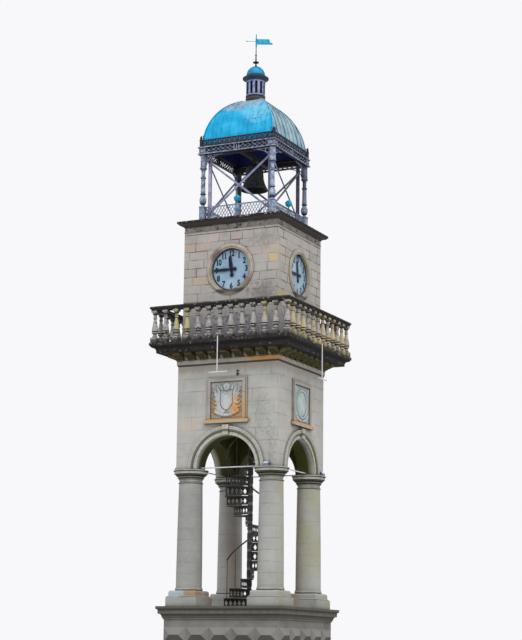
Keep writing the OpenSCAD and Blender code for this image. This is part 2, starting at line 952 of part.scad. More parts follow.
module railing_balls() {
    neck = 46;
    color(blue_copper)
        for (side = [0, 90])
            rotate(side)
                translate([0, -belfry_off, belfry_z + lattice_h])
                    turned(concat([[16, 0], [16, neck]],
                        [for (i = [1:11]) [ball_r * sin(15 * i), neck + ball_r - ball_r * cos(15 * i) - 4]],
                        [[10, neck + 2 * ball_r - 4], [0, neck + 2 * ball_r + 12]]));
}

module bell_frame() {
    color(iron)
        at_corners(frame_off)
            square_block(frame_post_w, belfry_z, beam_z);
}

module frame_braces() {
    reach = frame_off + frame_post_w / 2;
    under_frieze = 110;
    half_rise = frieze_z - belfry_z - brace_cross_up - brace_w / 2 - under_frieze;
    plate_t = 12;
    color(iron)
        on_sides()
            translate([0, -reach, belfry_z + brace_cross_up])
                rotate([90, 0, 0])
                    linear_extrude(height = plate_t)
                        for (s = [-1, 1])
                            polygon([[-reach, -s * half_rise - brace_w / 2],
                                [reach, s * half_rise - brace_w / 2],
                                [reach, s * half_rise + brace_w / 2],
                                    [-reach, -s * half_rise + brace_w / 2]]);
}

module belfry_frieze() {
    rail = 28;
    lip = 20;
    plate_w = 90;
    plate_t = 30;
    block = 78;
    bar = 20;
    reach = belfry_off - frieze_block_w / 2;
    color(iron) {
        at_corners(belfry_off)
            square_block(frieze_block_w, frieze_z, frieze_top - rail);
        difference() {
            square_moulding([[frieze_half + lip, frieze_top - rail], [frieze_half + lip, frieze_top]]);
            square_block(2 * (frieze_half + lip - 2 * plate_w), frieze_top - rail - 1, frieze_top + 1);
        }
        difference() {
            square_moulding([[frieze_half + lip, frieze_z], [frieze_half + lip, frieze_z + rail]]);
            square_block(2 * (frieze_half - plate_t - lip), frieze_z - 1, frieze_z + rail + 1);
        }
        on_sides()
            translate([0, -frieze_half + plate_t, frieze_z])
                rotate([90, 0, 0]) {
                    linear_extrude(height = plate_t - 8)
                        for (side = [0, 1])
                            mirror([side, 0])
                                translate([block, rail])
                                    crossed_bars(reach - block, frieze_h - 2 * rail, frieze_n, 1.5, bar);
                    linear_extrude(height = plate_t)
                        for (x = [-block, -block / 5, block - block * 0.4])
                            translate([x, rail - 1])
                                square([block * 0.4, frieze_h - 2 * rail + 2]);
                }
    }
}

module cresting() {
    plate = 10;
    half = frieze_half;
    h = cresting_h;
    n = 14;
    pitch = 2 * (half - 40) / n;
    color("#5A4B45")
        translate([0, 0, frieze_top]) {
            at_corners(half - 20)
                turned([[20, 0], [20, h * 0.85], [36, h * 0.92], [36, h * 1.04], [14, h * 1.1],
                    [24, h * 1.18],
                    [0, h * 1.28]]);
            on_sides()
                translate([0, -half + 20 + plate / 2, 0])
                    rotate([90, 0, 0])
                        linear_extrude(height = plate)
                            difference() {
                                union() {
                                    translate([-half + 20, 0])
                                        square([2 * half - 40, h * 0.93]);
                                    translate([-26, 0])
                                        square([52, h * 1.02]);
                                }
                                for (i = [0:n - 1])
                                    translate([-half + 40 + (i + 0.5) * pitch, h * 0.44])
                                        polygon([[-pitch * 0.32, 0], [0, -h * 0.24], [pitch * 0.32, 0],
                                            [0, h * 0.24]]);
                            }
        }
}

// Profile of the dome from its foot to the lantern, drawn in by a wall's thickness
function dome_profile(wall) =
    let (half = dome_half - wall, top = dome_top_half, high = dome_h - wall, last = acos(top / half), n = 14)
    [for (i = [0:n]) [half * cos(last * i / n), frieze_top + high * sin(last * i / n) / sin(last)]];

module dome() {
    color(blue_copper)
        difference() {
            square_moulding(dome_profile(0));
            square_moulding(concat([[dome_half - dome_wall, frieze_top - 10]], dome_profile(dome_wall)));
        }
}

// Outline of the bell from its mouth to its shoulder, by the mouth's radius and the height
function bell_profile(r, z0, h) = concat([[r, z0], [r * 0.97, z0 + h * 0.05]],
    hollow_in([r * 0.97, z0 + h * 0.05], [r * 0.66, z0 + h * 0.6], 6),
    [[r * 0.63, z0 + h * 0.8]], round_in([r * 0.63, z0 + h * 0.84], [r * 0.22, z0 + h], 4));
// Curve that leaves sloping inwards and ends upright
function hollow_in(a, b, n) =
    [for (i = [0:n]) [b[0] + (a[0] - b[0]) * pow(1 - i / n, 2), a[1] + (b[1] - a[1]) * i / n]];
// Quarter curve that leaves upright and ends level, going inwards
function round_in(a, b, n) =
    [for (i = [0:n]) [b[0] + (a[0] - b[0]) * cos(90 * i / n), a[1] + (b[1] - a[1]) * sin(90 * i / n)]];

module bell() {
    crown = beam_z - bell_z - bell_h;
    color(bronze) {
        difference() {
            turned(bell_profile(bell_r, bell_z, bell_h));
            turned(concat([[bell_r - bell_wall, bell_z - 1]],
                bell_profile(bell_r - bell_wall, bell_z, bell_h - bell_wall)));
        }
        translate([0, 0, bell_z + bell_h - 4])
            cylinder(r = 46, h = crown + 4);
    }
}

module bell_beam() {
    reach = frame_off + frame_post_w / 2;
    color(dark_iron) {
        for (s = [-1, 1])
            translate([-reach, s * frame_off - beam_w / 2, beam_z])
                cube([2 * reach, beam_w, beam_h]);
        translate([-beam_w / 2, -frame_off, beam_z])
            cube([beam_w, 2 * frame_off, beam_h]);
    }
}

module lantern_drum() {
    wall = 18;
    margin = 36;
    ring_h = lantern_base_h;
    ring_r = lantern_base_r;
    color(iron)
        difference() {
            union() {
                turned([[ring_r - 6, dome_top], [ring_r - 6, dome_top + ring_h * 0.3],
                    [ring_r, dome_top + ring_h * 0.36], [ring_r, dome_top + ring_h * 0.6],
                    [ring_r - 8, dome_top + ring_h * 0.66], [ring_r - 8, drum_z - 16], [ring_r, drum_z - 12],
                    [ring_r, drum_z]]);
                translate([0, 0, drum_z])
                    cylinder(r = drum_r, h = drum_h);
            }
            translate([0, 0, dome_top - 1])
                cylinder(r = drum_r - wall, h = lantern_base_h + drum_h + 2);
            for (i = [0:drum_slots - 1])
                rotate(360 * i / drum_slots)
                    translate([drum_r - 2 * wall, -slot_w / 2, drum_z + margin])
                        cube([3 * wall, slot_w, drum_h - 2 * margin]);
        }
}

module lantern_cornice() {
    z = lantern_cornice_z;
    r = lantern_cornice_r;
    color(dark_iron)
        turned(concat([[drum_r + 6, z]], hollow([drum_r + 10, z + 12], [r - 14, z + 62]),
            [[r, z + 66], [r, z + 92], [small_dome_r + 14, z + lantern_cornice_h - 24],
            [small_dome_r + 6, z + lantern_cornice_h]]));
}

module small_dome() {
    wall = 14;
    z = small_dome_z;
    color(blue_copper)
        difference() {
            turned([for (i = [0:8]) [small_dome_r * cos(11.25 * i), z + small_dome_h * sin(11.25 * i)]]);
            turned(concat([[small_dome_r - wall, z - 1]], [for (i = [0:8])
                [(small_dome_r - wall) * cos(11.25 * i), z + (small_dome_h - wall) * sin(11.25 * i)]]));
        }
}

module finial() {
    z = small_dome_top;
    color(dark_iron)
        turned([[34, z], [20, z + 30], [18, z + 80], [70, z + 96], [76, z + 108], [70, z + 120],
            [18, z + 136],
            [14, z + 280], [22, z + 286], [22, z + 304], [12, z + 312], [rod_r, vane_z - 30],
            [rod_r + 8, vane_z - 16], [rod_r + 8, vane_z], [rod_r, vane_z], [rod_r, z + finial_h]]);
}

module weather_vane() {
    foot = vane_z + seat_gap;
    sleeve_h = flag_h + 50;
    plate = 6;
    turn = 26;
    color("#1787B5")
        rotate(turn)
            difference() {
                union() {
                    translate([0, 0, foot])
                        cylinder(r = rod_r + 8, h = sleeve_h);
                    translate([0, plate / 2, foot + 30])
                        rotate([90, 0, 0])
                            linear_extrude(height = plate)
                                polygon([[0, 0], [flag_len, 0], [flag_len, flag_h * 0.3],
                                    [flag_len * 0.86, flag_h * 0.38],
                                    [flag_len * 0.8, flag_h], [0, flag_h]]);
                    translate([-pointer_len, 0, foot + 112])
                        rotate([0, 90, 0])
                            cylinder(r = 6, h = pointer_len);
                    translate([-pointer_len, 0, foot + 112])
                        sphere(r = 17, $fn = 32);
                }
                translate([0, 0, foot - 1])
                    cylinder(r = rod_r + running_play, h = sleeve_h + 2);
            }
}

module stair_pole() {
    collar_r = pole_r + 16;
    top = slab_top + stair_rail_up;
    color(dark_iron) {
        translate([0, 0, plinth_top])
            cylinder(r = pole_r, h = top - plinth_top);
        translate([0, 0, plinth_top])
            cylinder(r = collar_r, h = stair_rise - hub_h);
        for (i = [1:stair_steps - 1])
            translate([0, 0, plinth_top + i * stair_rise])
                cylinder(r = collar_r, h = stair_rise - hub_h);
        translate([0, 0, slab_top])
            cylinder(r = collar_r, h = 40);
    }
}

// Flat outline of a tread, from one radial edge to the next
module tread_outline(angle) {
    intersection() {
        circle(r = stair_r);
        polygon([[0, 0], [2 * stair_r, 0], [2 * stair_r, 2 * stair_r * tan(angle / 2)],
            [2 * stair_r * cos(angle), 2 * stair_r * sin(angle)]]);
    }
}

module stair_treads() {
    step = 360 / steps_per_turn;
    riser_t = 8;
    hub_r = pole_r + 26;
    riser_x = pole_r + 18;
    drop = stair_rise - tread_t - 12;
    slots = 5;
    pitch = (stair_r - hub_r - 30) / slots;
    color(dark_iron)
        for (i = [0:stair_steps - 1])
            translate([0, 0, plinth_top + (i + 1) * stair_rise])
                rotate(stair_turn + i * step)
                    difference() {
                        union() {
                            translate([0, 0, -tread_t])
                                linear_extrude(height = tread_t)
                                    tread_outline(step);
                            translate([0, 0, -hub_h])
                                cylinder(r = hub_r, h = hub_h);
                            translate([0, riser_t, 0])
                                rotate([90, 0, 0])
                                    linear_extrude(height = riser_t)
                                        difference() {
                                            translate([riser_x, -tread_t - drop])
                                                square([stair_r - 6 - riser_x, tread_t + drop]);
                                            for (k = [0:slots - 1])
                                                translate([hub_r + 16 + (k + 0.5) * pitch,
                                                    -tread_t - drop / 2])
                                                    polygon([[-pitch * 0.38, 0], [0, -drop * 0.36],
                                                        [pitch * 0.38, 0],
                                                        [0, drop * 0.36]]);
                                        }
                        }
                        translate([0, 0, -stair_rise])
                            cylinder(r = pole_r + seat_gap, h = 2 * stair_rise);
                    }
}

// Point of the stair's rail at an angle from its first step
function rail_point(angle, z) = [rail_line * cos(stair_turn + angle), rail_line * sin(stair_turn + angle), z];

// Tube along the rail, with a ring of points every few degrees
module helix_tube(r, sides, per_step) {
    step = 360 / steps_per_turn;
    count = (stair_steps - 1) * per_step;
    slope = atan(stair_rise / (rail_line * step * PI / 180));
    rings = [for (i = [0:count], k = [0:sides - 1])
        let (angle = step / 2 + i * step / per_step,
            z = plinth_top + stair_rise * (1 + i / per_step) + stair_rail_up,
            a = 360 * k / sides,
            dir = stair_turn + angle,
            flat = r * cos(a),
            lift = r * sin(a))
        [(rail_line + flat) * cos(dir) + lift * sin(slope) * sin(dir),
            (rail_line + flat) * sin(dir) - lift * sin(slope) * cos(dir), z + lift * cos(slope)]];
    sides_faces = [for (i = [0:count - 1], k = [0:sides - 1])
        [i * sides + k, i * sides + (k + 1) % sides, (i + 1) * sides + (k + 1) % sides, (i + 1) * sides + k]];
    start = [for (k = [sides - 1:-1:0]) k];
    finish = [for (k = [0:sides - 1]) count * sides + k];
    polyhedron(points = rings, faces = concat([start], sides_faces, [finish]));
}

module stair_railing() {
    step = 360 / steps_per_turn;
    bar_r = 9;
    color(dark_iron) {
        helix_tube(stair_rail_r, 8, 3);
        for (i = [0:stair_steps - 1])
            translate(rail_point((i + 0.5) * step, plinth_top + (i + 1) * stair_rise))
                cylinder(r = bar_r, h = stair_rail_up);
    }
}

module hanging_rods() {
    y = slab_half + hanger_r + seat_gap;
    top = slab_top + 40;
    color("#E8E8E8")
        for (turn = [0, 90])
            rotate(turn)
                translate([0, -y, top - hanger_len]) {
                    cylinder(r = hanger_r, h = hanger_len);
                    translate([-hanger_bar * 0.45, 0, 0])
                        rotate([0, 90, 0])
                            cylinder(r = hanger_r, h = hanger_bar);
                }
}

module floodlights() {
    foot = 24;
    margin = 30;
    deep = abacus_r - (storey_half - column_off) - foot - margin;
    high = lamp_w * 0.75;
    color("#9FAEC0")
        on_sides()
            translate([arch_ring_r + lamp_gap, -storey_half - foot, springing])
                rotate([90, 0, 90])
                    mirror([1, 0, 0])
                        linear_extrude(height = lamp_w)
                            polygon([[0, 0], [deep, 0], [deep, high * 0.55], [deep * 0.55, high],
                                [0, high * 0.85]]);
}

plinth_footing();
plinth_blocks();
plinth_cornice();
column_bases();
column_shafts();
column_capitals();
front_arch_wall();
right_arch_wall();
back_arch_wall();
left_arch_wall();
arch_mouldings();
keystones();
tie_rods();
panel_frames();
relief_panels();
string_course();
balcony_brackets();
balcony_slab();
balusters();
balcony_rail();
front_clock_wall();
right_clock_wall();
back_clock_wall();
left_clock_wall();
dial_rings();
dials();
front_minute_hand();
front_hour_hand();
right_minute_hand();
right_hour_hand();
back_minute_hand();
back_hour_hand();
left_minute_hand();
left_hour_hand();
roof_cornice();
belfry_floor();
belfry_columns();
lattice_railings();
railing_balls();
bell_frame();
frame_braces();
belfry_frieze();
cresting();
dome();
bell();
bell_beam();
lantern_drum();
lantern_cornice();
small_dome();
finial();
weather_vane();
stair_pole();
stair_treads();
stair_railing();
hanging_rods();
floodlights();
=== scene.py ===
# Looks of the stone clock tower, in metres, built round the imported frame
import json
import math

import bpy
from mathutils import Matrix, Vector


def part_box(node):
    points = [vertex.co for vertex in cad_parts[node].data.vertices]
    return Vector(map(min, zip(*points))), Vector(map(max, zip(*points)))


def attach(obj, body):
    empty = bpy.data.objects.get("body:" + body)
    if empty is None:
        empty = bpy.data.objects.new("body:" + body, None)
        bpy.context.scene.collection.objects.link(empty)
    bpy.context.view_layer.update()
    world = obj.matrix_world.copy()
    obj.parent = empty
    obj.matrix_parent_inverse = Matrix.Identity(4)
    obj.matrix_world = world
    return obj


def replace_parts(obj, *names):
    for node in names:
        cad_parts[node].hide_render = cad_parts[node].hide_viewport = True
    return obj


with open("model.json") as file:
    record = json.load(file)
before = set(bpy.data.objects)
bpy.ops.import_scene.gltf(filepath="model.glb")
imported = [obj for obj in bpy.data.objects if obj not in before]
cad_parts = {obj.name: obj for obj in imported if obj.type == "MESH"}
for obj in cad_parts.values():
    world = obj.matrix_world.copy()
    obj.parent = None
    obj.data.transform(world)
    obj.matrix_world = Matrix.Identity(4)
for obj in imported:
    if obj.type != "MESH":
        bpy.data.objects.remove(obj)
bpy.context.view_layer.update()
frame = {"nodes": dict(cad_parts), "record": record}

scene = bpy.context.scene
sides = ("front", "right", "back", "left")


# Small helpers
def linear(hexColour):
    parts = [int(hexColour[i:i + 2], 16) / 255 for i in (1, 3, 5)]
    return tuple(c / 12.92 if c <= 0.04045 else ((c + 0.055) / 1.055) ** 2.4 for c in parts) + (1.0,)


# Adds any node, with its settings, its links or values as a list or by socket, and a ramp's stops as (position, hex
# shade or grey). A kind without a prefix is a shader node, and a node given as a value is linked by its first output
def addNode(tree, kind, inputs=(), stops=None, **settings):
    node = tree.nodes.new(kind if "Node" in kind else "ShaderNode" + kind)
    for name, value in settings.items():
        setattr(node, name, value)
    given = inputs.items() if isinstance(inputs, dict) else enumerate(inputs)
    for socket, value in given:
        if isinstance(value, bpy.types.Node):
            value = value.outputs[0]
        if isinstance(value, bpy.types.NodeSocket):
            tree.links.new(value, node.inputs[socket])
        else:
            node.inputs[socket].default_value = value
    if stops:
        elements = node.color_ramp.elements
        while len(elements) < len(stops):
            elements.new(0.5)
        for element, (position, shade) in zip(elements, stops):
            element.position = position
            element.color = linear(shade) if isinstance(shade, str) else (shade, shade, shade, 1)
    return node


# Starts a node group; its sockets are titles by kind
def startGroup(name, kind, inputs, outputs):
    tree = bpy.data.node_groups.new(name, kind)
    for way, sockets in (("INPUT", inputs), ("OUTPUT", outputs)):
        for sort, titles in sockets.items():
            for title in titles:
                tree.interface.new_socket(name=title, in_out=way, socket_type="NodeSocket" + sort)
    return tree, addNode(tree, "NodeGroupInput").outputs


def quarterTurn(points, side):
    # from the front, -Y, to the side of that number: 1 right, 2 back, 3 left
    c, s = ((1, 0), (0, 1), (-1, 0), (0, -1))[side]
    return [Vector((c * p[0] - s * p[1], s * p[0] + c * p[1], p[2])) for p in points]


def makePiece(name, points, faces, finishName, edges=()):
    mesh = bpy.data.meshes.new(name)
    mesh.from_pydata([tuple(p) for p in points], list(edges), faces)
    mesh.materials.append(finish[finishName])
    mesh.validate()
    piece = bpy.data.objects.new(name, mesh)
    scene.collection.objects.link(piece)
    return piece


def settle(piece, body="tower", smooth=False):
    if smooth:
        piece.data.shade_smooth()
    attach(piece, body)
    return piece


# Turns the result of a geometry tree into the piece's own plain mesh
def bakeTree(piece, tree, values):
    modifier = piece.modifiers.new("shape", "NODES")
    modifier.node_group = tree
    for item in tree.interface.items_tree:
        if item.item_type == "SOCKET" and item.in_out == "INPUT" and item.name in values:
            modifier[item.identifier] = values[item.name]
    evaluated = piece.evaluated_get(bpy.context.evaluated_depsgraph_get())
    mesh = bpy.data.meshes.new_from_object(evaluated)
    piece.modifiers.remove(modifier)
    piece.data = mesh
    return piece


def endTree(tree, given, geometry):
    real = addNode(tree, "GeometryNodeRealizeInstances", [geometry])
    painted = addNode(tree, "GeometryNodeSetMaterial", {0: real, "Material": given["Finish"]})
    addNode(tree, "NodeGroupOutput", [painted])
    return tree


# A bar of round section along every edge path
def barTree():
    tree, given = startGroup("barAlongPath", "GeometryNodeTree", {"Geometry": ["Geometry"], "Float": ["Radius"],
                             "Int": ["Sides"], "Material": ["Finish"]}, {"Geometry": ["Geometry"]})
    path = addNode(tree, "GeometryNodeMeshToCurve", [given["Geometry"]])
    ring = addNode(tree, "GeometryNodeCurvePrimitiveCircle", {"Resolution": given["Sides"], "Radius": given["Radius"]},
                   mode="RADIUS")
    return endTree(tree, given, addNode(tree, "GeometryNodeCurveToMesh", {0: path, 1: ring, "Fill Caps": True}))


# A domed head on every point, facing along the stored direction
def headTree():
    tree, given = startGroup("domedHeads", "GeometryNodeTree", {"Geometry": ["Geometry"], "Float": ["Radius", "Height"],
                             "Material": ["Finish"]}, {"Geometry": ["Geometry"]})
    ball = addNode(tree, "GeometryNodeMeshUVSphere", {"Segments": 10, "Rings": 6, "Radius": given["Radius"]})
    ratio = addNode(tree, "Math", [given["Height"], given["Radius"]], operation="DIVIDE")
    size = addNode(tree, "CombineXYZ", [1.0, 1.0, ratio])
    outward = addNode(tree, "GeometryNodeInputNamedAttribute", ["outward"], data_type="FLOAT_VECTOR")
    aim = addNode(tree, "FunctionNodeAlignRotationToVector", {"Vector": outward}, axis="Z")
    return endTree(tree, given, addNode(tree, "GeometryNodeInstanceOnPoints", {
        "Points": given["Geometry"], "Instance": ball, "Rotation": aim, "Scale": size}))


barAlongPath = barTree()
domedHeads = headTree()


def bars(name, paths, radius, finishName, body="tower", around=8):
    points, edges = [], []
    for path in paths:
        first = len(points)
        points += path
        edges += [(first + i, first + i + 1) for i in range(len(path) - 1)]
    piece = makePiece(name, points, [], finishName, edges)
    bakeTree(piece, barAlongPath, {"Radius": radius, "Sides": around, "Finish": finish[finishName]})
    return settle(piece, body, smooth=True)


def heads(name, places, radius, height, finishName, slot, body="tower"):
    # places are pairs of a point and the direction that the head faces
    piece = makePiece(name, [place[0] for place in places], [], finishName)
    store = piece.data.attributes.new("outward", "FLOAT_VECTOR", "POINT")
    for i, place in enumerate(places):
        store.data[i].vector = place[1]
    bakeTree(piece, domedHeads, {"Radius": radius, "Height": height, "Finish": finish[finishName]})
    return settle(piece, body, smooth=True)


def outward(points, side, way=(0, -1, 0)):
    # points turned to one side of the tower, each with the direction that it faces
    out = quarterTurn([way], side)[0]
    return [(p, out) for p in quarterTurn(points, side)]


def turns(count):
    return [2 * math.pi * k / count for k in range(count)]


def ringFaces(first, rings, count, closed=False):
    # the faces between rings of points; closed joins the last ring to the first
    faces = []
    for row in range(rings if closed else rings - 1):
        here, after = first + row * count, first + (row + 1) % rings * count
        faces += [(here + k, here + (k + 1) % count, after + (k + 1) % count, after + k) for k in range(count)]
    return faces


# A block given by four corners and the same four on its other face
boxFaces = [(3, 2, 1, 0), (4, 5, 6, 7), (0, 1, 5, 4), (1, 2, 6, 5), (2, 3, 7, 6), (3, 0, 4, 7)]


def drawnShape(curve):
    # a curve filled by Blender, as points and faces
    drawn = bpy.data.objects.new("drawn", curve)
    mesh = bpy.data.meshes.new_from_object(drawn)
    shape = [v.co.copy() for v in mesh.vertices], [tuple(p.vertices) for p in mesh.polygons]
    bpy.data.objects.remove(drawn)
    return shape


def ringPath(centre, radius, u, v, count):
    return [Vector(centre) + radius * (math.cos(a) * Vector(u) + math.sin(a) * Vector(v))
            for a in (2 * math.pi * i / count for i in range(count + 1))]


print("helpers ready")

# Camera fitted to the edges of the tower in the photograph
eye = {"distance": 40.219, "height": 1.452, "azimuth": 26.0287, "pitch": 11.2256, "roll": 0.6838, "yaw": 0.2865,
       "focalPixels": 1706.08, "frameHeight": 640, "sensor": 36.0, "clipEnd": 500}


def placeCamera():
    azimuth, pitch, roll, yaw = (math.radians(eye[k]) for k in ("azimuth", "pitch", "roll", "yaw"))
    up = Vector((0, 0, 1))
    side = Vector((math.cos(azimuth), math.sin(azimuth), 0))
    ahead = Vector((-math.sin(azimuth), math.cos(azimuth), 0))
    side, ahead = math.cos(yaw) * side - math.sin(yaw) * ahead, math.cos(yaw) * ahead + math.sin(yaw) * side
    top = math.cos(pitch) * up - math.sin(pitch) * ahead
    ahead = math.cos(pitch) * ahead + math.sin(pitch) * up
    right = math.cos(roll) * side + math.sin(roll) * top
    top = math.cos(roll) * top - math.sin(roll) * side
    camera = bpy.data.objects.new("camera", bpy.data.cameras.new("camera"))
    camera.data.lens = eye["sensor"] * eye["focalPixels"] / eye["frameHeight"]
    camera.data.sensor_width = eye["sensor"]
    camera.data.clip_end = eye["clipEnd"]
    turn = Matrix((right, top, -ahead)).transposed().to_4x4()
    spot = Vector((eye["distance"] * math.sin(azimuth), -eye["distance"] * math.cos(azimuth), eye["height"]))
    camera.matrix_world = Matrix.Translation(spot) @ turn
    scene.collection.objects.link(camera)
    scene.camera = camera


studio = {"sky": "#F4F6F9", "skyLight": 0.96, "seenSky": "#F8F8FA", "sunStrength": 1.6, "sunAngle": 25,
          "sunAzimuth": 38, "sunHeight": 50, "floor": ("#DAD9D8", "#D9D8D6"), "floorHalf": 60}


def lightStudio():
    world = bpy.data.worlds.new("paleSky")
    world.use_nodes = True
    tree = world.node_tree
    tree.nodes.clear()
    light = addNode(tree, "Background", [linear(studio["sky"]), studio["skyLight"]])
    seen = addNode(tree, "Background", [linear(studio["seenSky"]), 1.0])
    path = addNode(tree, "LightPath")
    both = addNode(tree, "MixShader", [path.outputs["Is Camera Ray"], light, seen])
    addNode(tree, "OutputWorld", [both])
    scene.world = world
    sun = bpy.data.objects.new("softSun", bpy.data.lights.new("softSun", "SUN"))
    sun.data.energy = studio["sunStrength"]
    sun.data.angle = math.radians(studio["sunAngle"])
    azimuth, height = math.radians(studio["sunAzimuth"]), math.radians(studio["sunHeight"])
    toward = Vector((math.sin(azimuth) * math.cos(height), -math.cos(azimuth) * math.cos(height), math.sin(height)))
    sun.matrix_world = toward.to_track_quat("Z", "Y").to_matrix().to_4x4()
    scene.collection.objects.link(sun)


placeCamera()
lightStudio()
scene.view_settings.view_transform = "Standard"
print("camera and light ready")


def startFinish(name):
    material = bpy.data.materials.new(name)
    material.use_nodes = True
    material.node_tree.nodes.clear()
    return material, material.node_tree, addNode(material.node_tree, "TexCoord").outputs["Object"]


def endFinish(tree, surface):
    shader = addNode(tree, "BsdfPrincipled", surface)
    addNode(tree, "OutputMaterial", {"Surface": shader})


# The usual grain, contrast and bias of a spot, the open shares that the painted shade and dirt of hollows runs over,
# how much further a mask of specks opens with their amount, where a wall's inside begins, and the tilts from level
# to looking down
usual = {"spot": (6.0, 1.6, 0.39), "open": (0.35, 0.9), "specks": 0.36, "edge": 0.004, "down": (-0.05, -0.6)}

# How far the joints stray and over what scale, the seeds of a side and of a row, the least and the further share of a
# stone's length, and the reach of the soil beside a joint
coursed = {"stray": 0.016, "strayScale": 6.0, "sideSeed": 17.3, "rowSeed": 9.1, "least": 0.65, "further": 0.7,
           "soil": 0.024}


# Coursed stones: joints, soiled edges, a tone and the middle of each stone, on the four walls round the axis
def coursingGroup():
    tree, given = startGroup("stoneCoursing", "ShaderNodeTree", {"Float": ["Row", "Length", "Width", "First"]},
                             {"Float": ["Joint", "Tone", "Dirt"], "Vector": ["Centre"]})
    here = addNode(tree, "TexCoord").outputs["Object"]
    drift = addNode(tree, "TexNoise", {"Vector": here, "Scale": coursed["strayScale"], "Detail": 5.0}).outputs[1]
    drift = addNode(tree, "VectorMath", [drift, (0.5, 0.5, 0.5)], operation="SUBTRACT")
    stray = (coursed["stray"],) * 3
    here = addNode(tree, "VectorMath", [drift, stray, here], operation="MULTIPLY_ADD")
    place = addNode(tree, "SeparateXYZ", [here]).outputs
    wide = addNode(tree, "Math", [place[0]], operation="ABSOLUTE")
    deep = addNode(tree, "Math", [place[1]], operation="ABSOLUTE")
    turned = addNode(tree, "Math", [wide, deep], operation="GREATER_THAN")
    along = addNode(tree, "Mix", {0: turned, 2: place[0], 3: place[1]})
    over = addNode(tree, "Math", [place[2], given["First"]], operation="SUBTRACT")
    high = addNode(tree, "Math", [over, given["Row"]], operation="DIVIDE")
    course = addNode(tree, "Math", [high], operation="FLOOR")
    row = addNode(tree, "Math", [turned, coursed["sideSeed"], course], operation="MULTIPLY_ADD")
    chance = addNode(tree, "TexWhiteNoise", {"W": row}, noise_dimensions="1D")
    spread = addNode(tree, "Math", [chance, coursed["further"], coursed["least"]], operation="MULTIPLY_ADD")
    length = addNode(tree, "Math", [given["Length"], spread], operation="MULTIPLY")
    run = addNode(tree, "Math", [along, length], operation="DIVIDE")
    across = addNode(tree, "Math", [chance, coursed["rowSeed"], run], operation="MULTIPLY_ADD")
    near = []
    for value, pitch in ((high, given["Row"]), (across, length)):
        edge = addNode(tree, "Math", [value, 0.5], operation="PINGPONG")
        near.append(addNode(tree, "Math", [edge, pitch], operation="MULTIPLY"))
    nearest = addNode(tree, "Math", near, operation="MINIMUM")
    joint = addNode(tree, "MapRange", [nearest, 0.0, given["Width"], 1.0, 0.0])
    dirt = addNode(tree, "MapRange", [nearest, 0.0, coursed["soil"], 1.0, 0.0])
    stone = addNode(tree, "Math", [across], operation="FLOOR")
    cell = addNode(tree, "CombineXYZ", [stone, row])
    tone = addNode(tree, "TexWhiteNoise", {"Vector": cell}, noise_dimensions="2D")
    middle = addNode(tree, "Math", [chance, -coursed["rowSeed"], stone], operation="MULTIPLY_ADD")
    middle = addNode(tree, "Math", [middle, 0.5], operation="ADD")
    middle = addNode(tree, "Math", [middle, length], operation="MULTIPLY")
    level = addNode(tree, "Math", [course, 0.5], operation="ADD")
    level = addNode(tree, "Math", [level, given["Row"], given["First"]], operation="MULTIPLY_ADD")
    x = addNode(tree, "Mix", {0: turned, 2: middle, 3: place[0]})
    y = addNode(tree, "Mix", {0: turned, 2: place[1], 3: middle})
    centre = addNode(tree, "CombineXYZ", [x, y, level])
    addNode(tree, "NodeGroupOutput", [joint, tone, dirt, centre])
    return tree


# Masks round the tower: how far inside a wall's face a point is, whether it is on the right side, looks down or
# faces outwards, how far along its wall it is, and its level
def placeGroup():
    tree, given = startGroup("placeRoundTower", "ShaderNodeTree", {"Float": ["Face", "Depth"]},
                             {"Float": ["Inside", "Right", "Down", "Radial", "Along", "Level"]})
    coords = addNode(tree, "TexCoord").outputs
    place = addNode(tree, "SeparateXYZ", [coords["Object"]]).outputs
    facing = addNode(tree, "SeparateXYZ", [coords["Normal"]]).outputs
    wide = addNode(tree, "Math", [place[0]], operation="ABSOLUTE")
    deep = addNode(tree, "Math", [place[1]], operation="ABSOLUTE")
    outer = addNode(tree, "Math", [wide, deep], operation="MAXIMUM")
    along = addNode(tree, "Math", [wide, deep], operation="MINIMUM")
    behind = addNode(tree, "Math", [given["Face"], outer], operation="SUBTRACT")
    inside = addNode(tree, "MapRange", [behind, usual["edge"], given["Depth"], 0.0, 1.0])
    right = addNode(tree, "Math", [place[0], deep], operation="GREATER_THAN")
    down = addNode(tree, "MapRange", [facing[2], *usual["down"], 0.0, 1.0])
    flat = addNode(tree, "VectorMath", [coords["Object"], (1.0, 1.0, 0.0)], operation="MULTIPLY")
    radial = addNode(tree, "VectorMath", [flat, coords["Normal"]], operation="DOT_PRODUCT").outputs[1]
    addNode(tree, "NodeGroupOutput", [inside, right, down, radial, along, place[2]])
    return tree


# A band between two levels, its edges worn by noise
def levelGroup():
    tree, given = startGroup("wornLevelBand", "ShaderNodeTree", {"Float": ["Low", "High", "Soft", "Wear"]},
                             {"Float": ["Mask"]})
    here = addNode(tree, "TexCoord").outputs["Object"]
    level = addNode(tree, "SeparateXYZ", [here]).outputs[2]
    rough = addNode(tree, "TexNoise", {"Vector": here, "Scale": 7.0, "Detail": 7.0, "Roughness": 0.65})
    shift = addNode(tree, "Math", [rough, 0.5], operation="SUBTRACT")
    level = addNode(tree, "Math", [shift, given["Wear"], level], operation="MULTIPLY_ADD")
    over = addNode(tree, "Math", [level, given["Low"]], operation="SUBTRACT")
    left = addNode(tree, "Math", [given["High"], level], operation="SUBTRACT")
    inner = addNode(tree, "Math", [over, left], operation="MINIMUM")
    mask = addNode(tree, "Math", [inner, given["Soft"]], operation="DIVIDE", use_clamp=True)
    addNode(tree, "NodeGroupOutput", [mask])
    return tree


